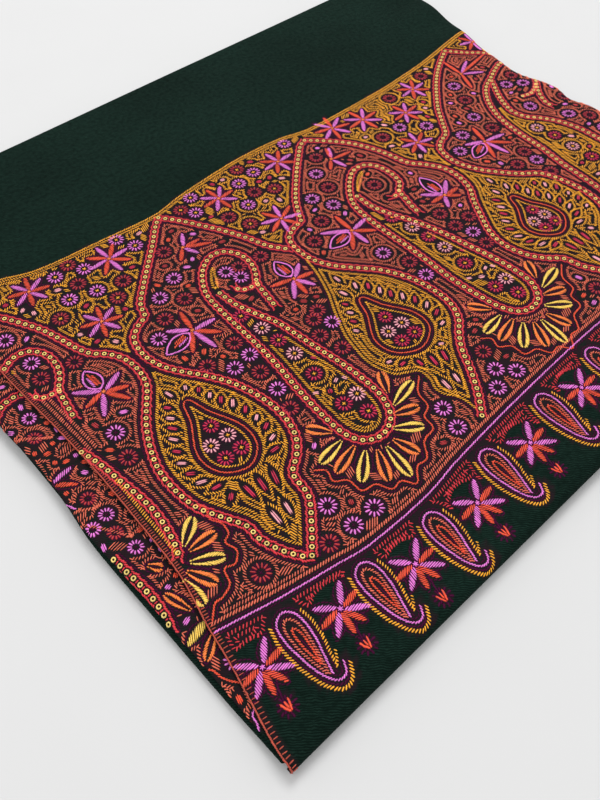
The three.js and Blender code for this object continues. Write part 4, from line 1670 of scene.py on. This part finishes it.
def work_small_paisley(work, u, top, foot):
    """A small paisley: violet loop, terracotta and red inside it, gold stitches outside."""
    def at(points):
        return [(u + du, top - (top - foot) * share) for du, share in points]

    loop = smooth(at([
        (0.5, 0), (5.0, 0.07), (6.3, 0.24), (4.8, 0.48), (2.0, 0.70), (-0.6, 0.88), (0.0, 0.97),
        (3.2, 0.99), (6.4, 0.90), (5.6, 1.03), (1.6, 1.07), (-2.6, 1.0), (-5.6, 0.84), (-7.0, 0.58),
        (-7.2, 0.30), (-5.2, 0.08),
    ]), closed=True)
    edge = smooth(at([
        (6.6, 0.90), (4.2, 1.0), (0.6, 1.02), (-2.6, 0.96), (-5.2, 0.80), (-6.6, 0.56), (-7.0, 0.30),
        (-5.0, 0.08), (0.5, 0), (5.0, 0.07), (6.3, 0.24), (4.8, 0.48), (2.0, 0.70), (-0.6, 0.90),
    ]))
    work.rope("violet", edge, 2.4, 30, 1.4, 0.95, 0.5)
    work.shade(beside(edge, -1.9), 0.95)
    work.shade(beside(edge, 1.9), 0.85)
    inside = smooth(at([
        (-2.6, 0.86), (-4.4, 0.58), (-4.5, 0.32), (-3.0, 0.16), (0.2, 0.09), (3.0, 0.16), (3.6, 0.30),
        (2.0, 0.52), (-0.4, 0.74), (-2.0, 0.88),
    ]))
    work.rope("terracotta", inside, 2.4, 48, 1.5, 0.9)
    core = smooth(at([
        (-1.6, 0.74), (-2.4, 0.52), (-2.0, 0.32), (-0.4, 0.22), (1.4, 0.32), (0.6, 0.50), (-1.0, 0.70),
    ]))
    work.rope("red", core, 2.2, 40, 1.4, 0.95)
    work.lay("aubergine", *[np.array(at([p])) for p in ((-0.8, 0.34), (-1.0, 0.60))], 0.9, 0.3)
    outside = smooth(at([
        (-8.0, 0.06), (-10.2, 0.26), (-10.6, 0.50), (-9.4, 0.74), (-6.4, 0.98), (-1.6, 1.12),
        (4.0, 1.10), (8.6, 0.95),
    ]))
    work.rope("gold", outside, 3.0, 54, 1.6, 0.95)
    work.shade(beside(outside, 1.9))
    right = smooth(at([(8.8, 0.12), (9.4, 0.30), (7.8, 0.52), (5.0, 0.72), (3.2, 0.88)]))
    work.rope("gold", right, 2.5, -54, 1.6, 0.9)
    hook = smooth(at([(3.4, 0.86), (5.2, 0.82), (7.4, 0.74)]))
    work.rope("gold", hook, 2.0, 60, 1.4, 0.75)
    work.cover_shape(loop, 4.6)


def work_gold_wave(work):
    """The gold line along the top of the border."""
    wave = smooth(GOLD_WAVE)
    work.rope("gold", wave, 2.8, 34, 1.5, 0.8, 0.44, cover=1.0)
    work.rope("gold", beside(wave, -2.2), 3.0, -52, 1.7, 0.8, 0.46, cover=1.2)


def work_border(work):
    """The whole border of the top leaf."""
    work_hem(work)
    work_gold_wave(work)
    work_arches(work)
    for outline, curl in (
        (PAISLEY, PAISLEY_CURL), (SECOND_PAISLEY, SECOND_CURL), (THIRD_PAISLEY, THIRD_CURL),
        (moved(PAISLEY[18:], -139, 11), moved(PAISLEY_CURL, -139, 11)),
    ):
        work_paisley(work, outline, curl)
    work.bead_chain(smooth(FIRST_BODY))
    work.bead_chain(smooth(THIRD_HOOK))
    for low, high in (((136, 92), (176, 182)), ((272, 94), (312, 186)), ((416, 92), (472, 200))):
        work.hedge(GOLD, "gold", low, high)
    work_fan(work, FIRST_FAN, smooth(FIRST_SCALLOP))
    for du, dv in ((0, 0), (137, 0), (288, -1)):
        petals = [(t, (a[0] + du, a[1] + dv), (b[0] + du, b[1] + dv)) for t, a, b in FAN]
        work_fan(work, petals, scallop_round(petals[1:-1], (155 + du, 112 + dv)))
    for inner, tip in (
        (((88, 182), (86, 128), 72, 99), (77, 74)), (((218, 172), (216, 122), 201, 232), (205, 74)),
        (((366, 170), (362, 127), 349, 376), (361, 74)),
    ):
        work_drop(work, inner, tip)
    work_flowers(work)
    work_paisley_hearts(work)
    work.fill_rosettes(TERRACOTTA, ["violet", "maroon"])
    work.fill_rosettes(GOLD, ["maroon", "violet"], least=7.4, seed=5)
    work.fill_seeds(TERRACOTTA, ["violet", "red", "maroon"], 4.6)
    work.fill_seeds(GOLD, ["ruby", "rose"], 4.6)
    work.fill_rows(TERRACOTTA, "terracotta")
    work.fill_rows(GOLD, "gold", 1.2, 2.5, 3.0, 50)
    work.fill_rows(HEM, "crimson", 1.6, 2.8, 2.9, 62, 1.9)


def work_selvage(work, edge):
    """A whipped edge along a selvage: a cord, stitches across it, and rows beside them in the border."""
    v = np.arange(-6.5, PACKET_DEPTH + 7, 1.0)
    line = even(np.stack([edge(np.clip(v, work.leaf.v_low, work.leaf.v_high)), v], 1), 0.8)
    inward = turned(headings(line), -90)
    work.rope("rust", line + inward * 0.2, 2.4, 12, 1.2, 0.9, 0.45)
    for start, stop, every, length in ((-9, 62, 3, 3.8), (62, 300, 2, 3.3), (300, 480, 3, 3.2)):
        part = (line[:, 1] >= start) & (line[:, 1] < stop)
        foot, way = line[part][::every], inward[part][::every]
        work.lay("rust", foot + way * 0.5, foot + way * length, 0.7, 0.42)
    work.cover(line + inward * 1.4, 2.0)
    for thread, start, stop, away in (
        ("gold", 111, 166, 4.9), ("terracotta", 190, 238, 5.4), ("terracotta", 190, 238, 8.6),
    ):
        row = (line + inward * away)[(line[:, 1] > start) & (line[:, 1] < stop)]
        work.rope(thread, row, 3.0, -72, 1.6, 0.9, 0.46, cover=1.6)


def work_second_leaf(work):
    """The border's other end, which shows as a strip along the left side."""
    work.lay_ground(TERRACOTTA, [(-8, 20), (40, 20), (40, 291), (-8, 291)])
    work.bead_chain(smooth([(2.4, 131), (3.0, 124), (4.0, 114), (4.5, 104), (4.0, 95), (2.6, 88), (0.6, 82)]))
    work.bead_chain(smooth([(2, 244), (10.6, 251), (19.6, 253), (28, 250)]))
    for thread, root, tip in (
        ("orange", (14.5, 84.5), (9.6, 99.6)), ("yellow", (16.5, 75.6), (2.6, 72.8)),
        ("orange", (16, 69.5), (4.4, 61)), ("violet", (4.8, 189), (17, 191)),
        ("red", (4.4, 187), (13.5, 179.5)), ("orange", (12.6, 117.5), (17.4, 111.5)),
    ):
        work.petal(thread, root, tip, 5.2 if thread in ("orange", "yellow") else 3.4, slit=thread == "orange")
    for centre, thread in (
        ((17.5, 234), "violet"), ((12.5, 220), "maroon"), ((14.3, 154.5), "violet"),
        ((11.6, 142.5), "maroon"), ((14.5, 129.3), "violet"), ((12.6, 168.5), "maroon"),
        ((4.3, 151.5), "violet"), ((6, 268), "violet"), ((20, 276), "maroon"), ((24, 40), "maroon"),
        ((12, 283), "violet"),
    ):
        work.rosette(centre, 4.6, thread)
    for line in (
        [(1.6, 214), (3.0, 206), (2.0, 196)], [(2.4, 182), (2.0, 175), (4.2, 168)],
        [(0.0, 21), (3.2, 24), (4.4, 29), (8.5, 31), (13, 36)],
    ):
        work.rope("violet", smooth(line), 2.8, 20, 1.4, 0.85, 0.5, cover=1.2)
    for centre, thread, lean in (
        ((13.4, 101.5), "violet", 20), ((6, 178.5), "red", 90), ((18, 211), "red", 100),
        ((23, 196), "violet", 80), ((12, 199), "red", 60), ((20, 104), "red", 40),
        ((7, 211), "red", 70), ((8, 261), "violet", 30),
    ):
        work.seed(thread, centre, 4.0, lean, 3)
    curl = smooth([(0, 58), (3.6, 56.5), (5.3, 49.5), (9, 44), (14, 41)])
    work.rope("red", curl, 2.6, 26, 1.35, 0.85, cover=1.2)
    work.rope("gold", smooth([(-2, 292), (14, 295), (34, 294)]), 3.0, 30, 1.5, 0.9, cover=1.2)
    work.fill_rosettes(TERRACOTTA, ["maroon", "violet"], least=6.4, seed=9)
    work.fill_seeds(TERRACOTTA, ["violet", "red"], seed=4)
    work.fill_rows(TERRACOTTA, "terracotta")


# Threads: their colour, and their gloss
THREADS = {
    "crimson": ((208, 40, 54), 0.8), "ruby": ((190, 18, 66), 0.8), "cream": ((238, 208, 116), 1.0),
    "gold": ((242, 166, 26), 0.9), "terracotta": ((220, 104, 78), 0.7), "red": ((226, 74, 42), 0.8),
    "violet": ((224, 116, 206), 0.9), "aubergine": ((64, 9, 46), 0.0), "orange": ((238, 124, 46), 1.0),
    "yellow": ((238, 198, 84), 1.0), "rose": ((236, 160, 170), 0.9), "rust": ((178, 74, 56), 0.5),
    "maroon": ((172, 40, 46), 0.7),
}
UNDER_STITCHES = (31, 22, 26)


# ----------------------------------------------------------
# The shawl
# ----------------------------------------------------------

LEFT_CROWD = 2.2  # crowds the lower leaves' steps towards their left folds, which show


def make_cloth(top_work, second_work):
    """The folded cloth, from the top leaf down to the hidden layers."""
    green = green_twill(twill_effect(), "green_wool", linear(16, 33, 27), linear(*UNDER_STITCHES))
    top = leaf_cloth("top_leaf_cloth", TOP, (0, 190, 14), (10, 170, 10), 0.25, 0.75, green,
                     worked=top_work.worked)
    second = leaf_cloth("second_leaf_cloth", SECOND, (10, 44, 0), (10, 110, 10), 0.25, 0.75, green,
                        LEFT_CROWD, second_work.worked)
    third = leaf_cloth("third_leaf_cloth", THIRD, (10, 30, 0), (10, 110, 10), 0.5, 0.5, green, LEFT_CROWD)
    core = folded_core(green)
    for piece, node in (
        (top, "top_leaf"), (second, "second_leaf"), (third, "third_leaf"), (core, "folded_core"),
    ):
        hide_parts(node)
    return top, second, third, core


def plan_needlework():
    """What is worked on the top leaf and on the second."""
    top = Needlework(TOP, (-6, -10), (516, 354))
    work_selvage(top, selvage)
    work_border(top)
    second = Needlework(SECOND, (-8, -6), (34, 300))
    work_second_leaf(second)
    return top, second


def sew_needlework(top, second):
    """The planned stitches as pieces, each thread in its own material."""
    ply = ply_effect()
    threads = {name: thread_material(ply, f"{name}_thread", linear(*colour), gloss)
               for name, (colour, gloss) in THREADS.items()}
    return sew(top, "top", threads), sew(second, "second", threads)


def flat_size(leaf):
    """Width and length of a leaf's stretch of cloth, in metres."""
    v = np.linspace(leaf.v_low, leaf.v_high, 60)
    low, high = leaf.u_limits(v)
    width = float(np.mean(high - low)) + leaf.left.length + leaf.right.length
    length = leaf.v_high - leaf.v_low + leaf.front.length + leaf.back.length
    return width / 1000, length / 1000


def declare_sheets(top, second, third, core, on_top=(), on_second=()):
    """Works out each leaf's flat size, and keeps none of it."""
    flat_size(TOP)
    flat_size(SECOND)
    flat_size(THIRD)


set_camera()
light_studio()
lay_floor()
planned = plan_needlework()
cloth = make_cloth(*planned)
on_top, on_second = sew_needlework(*planned)
declare_sheets(*cloth, on_top=on_top, on_second=on_second)
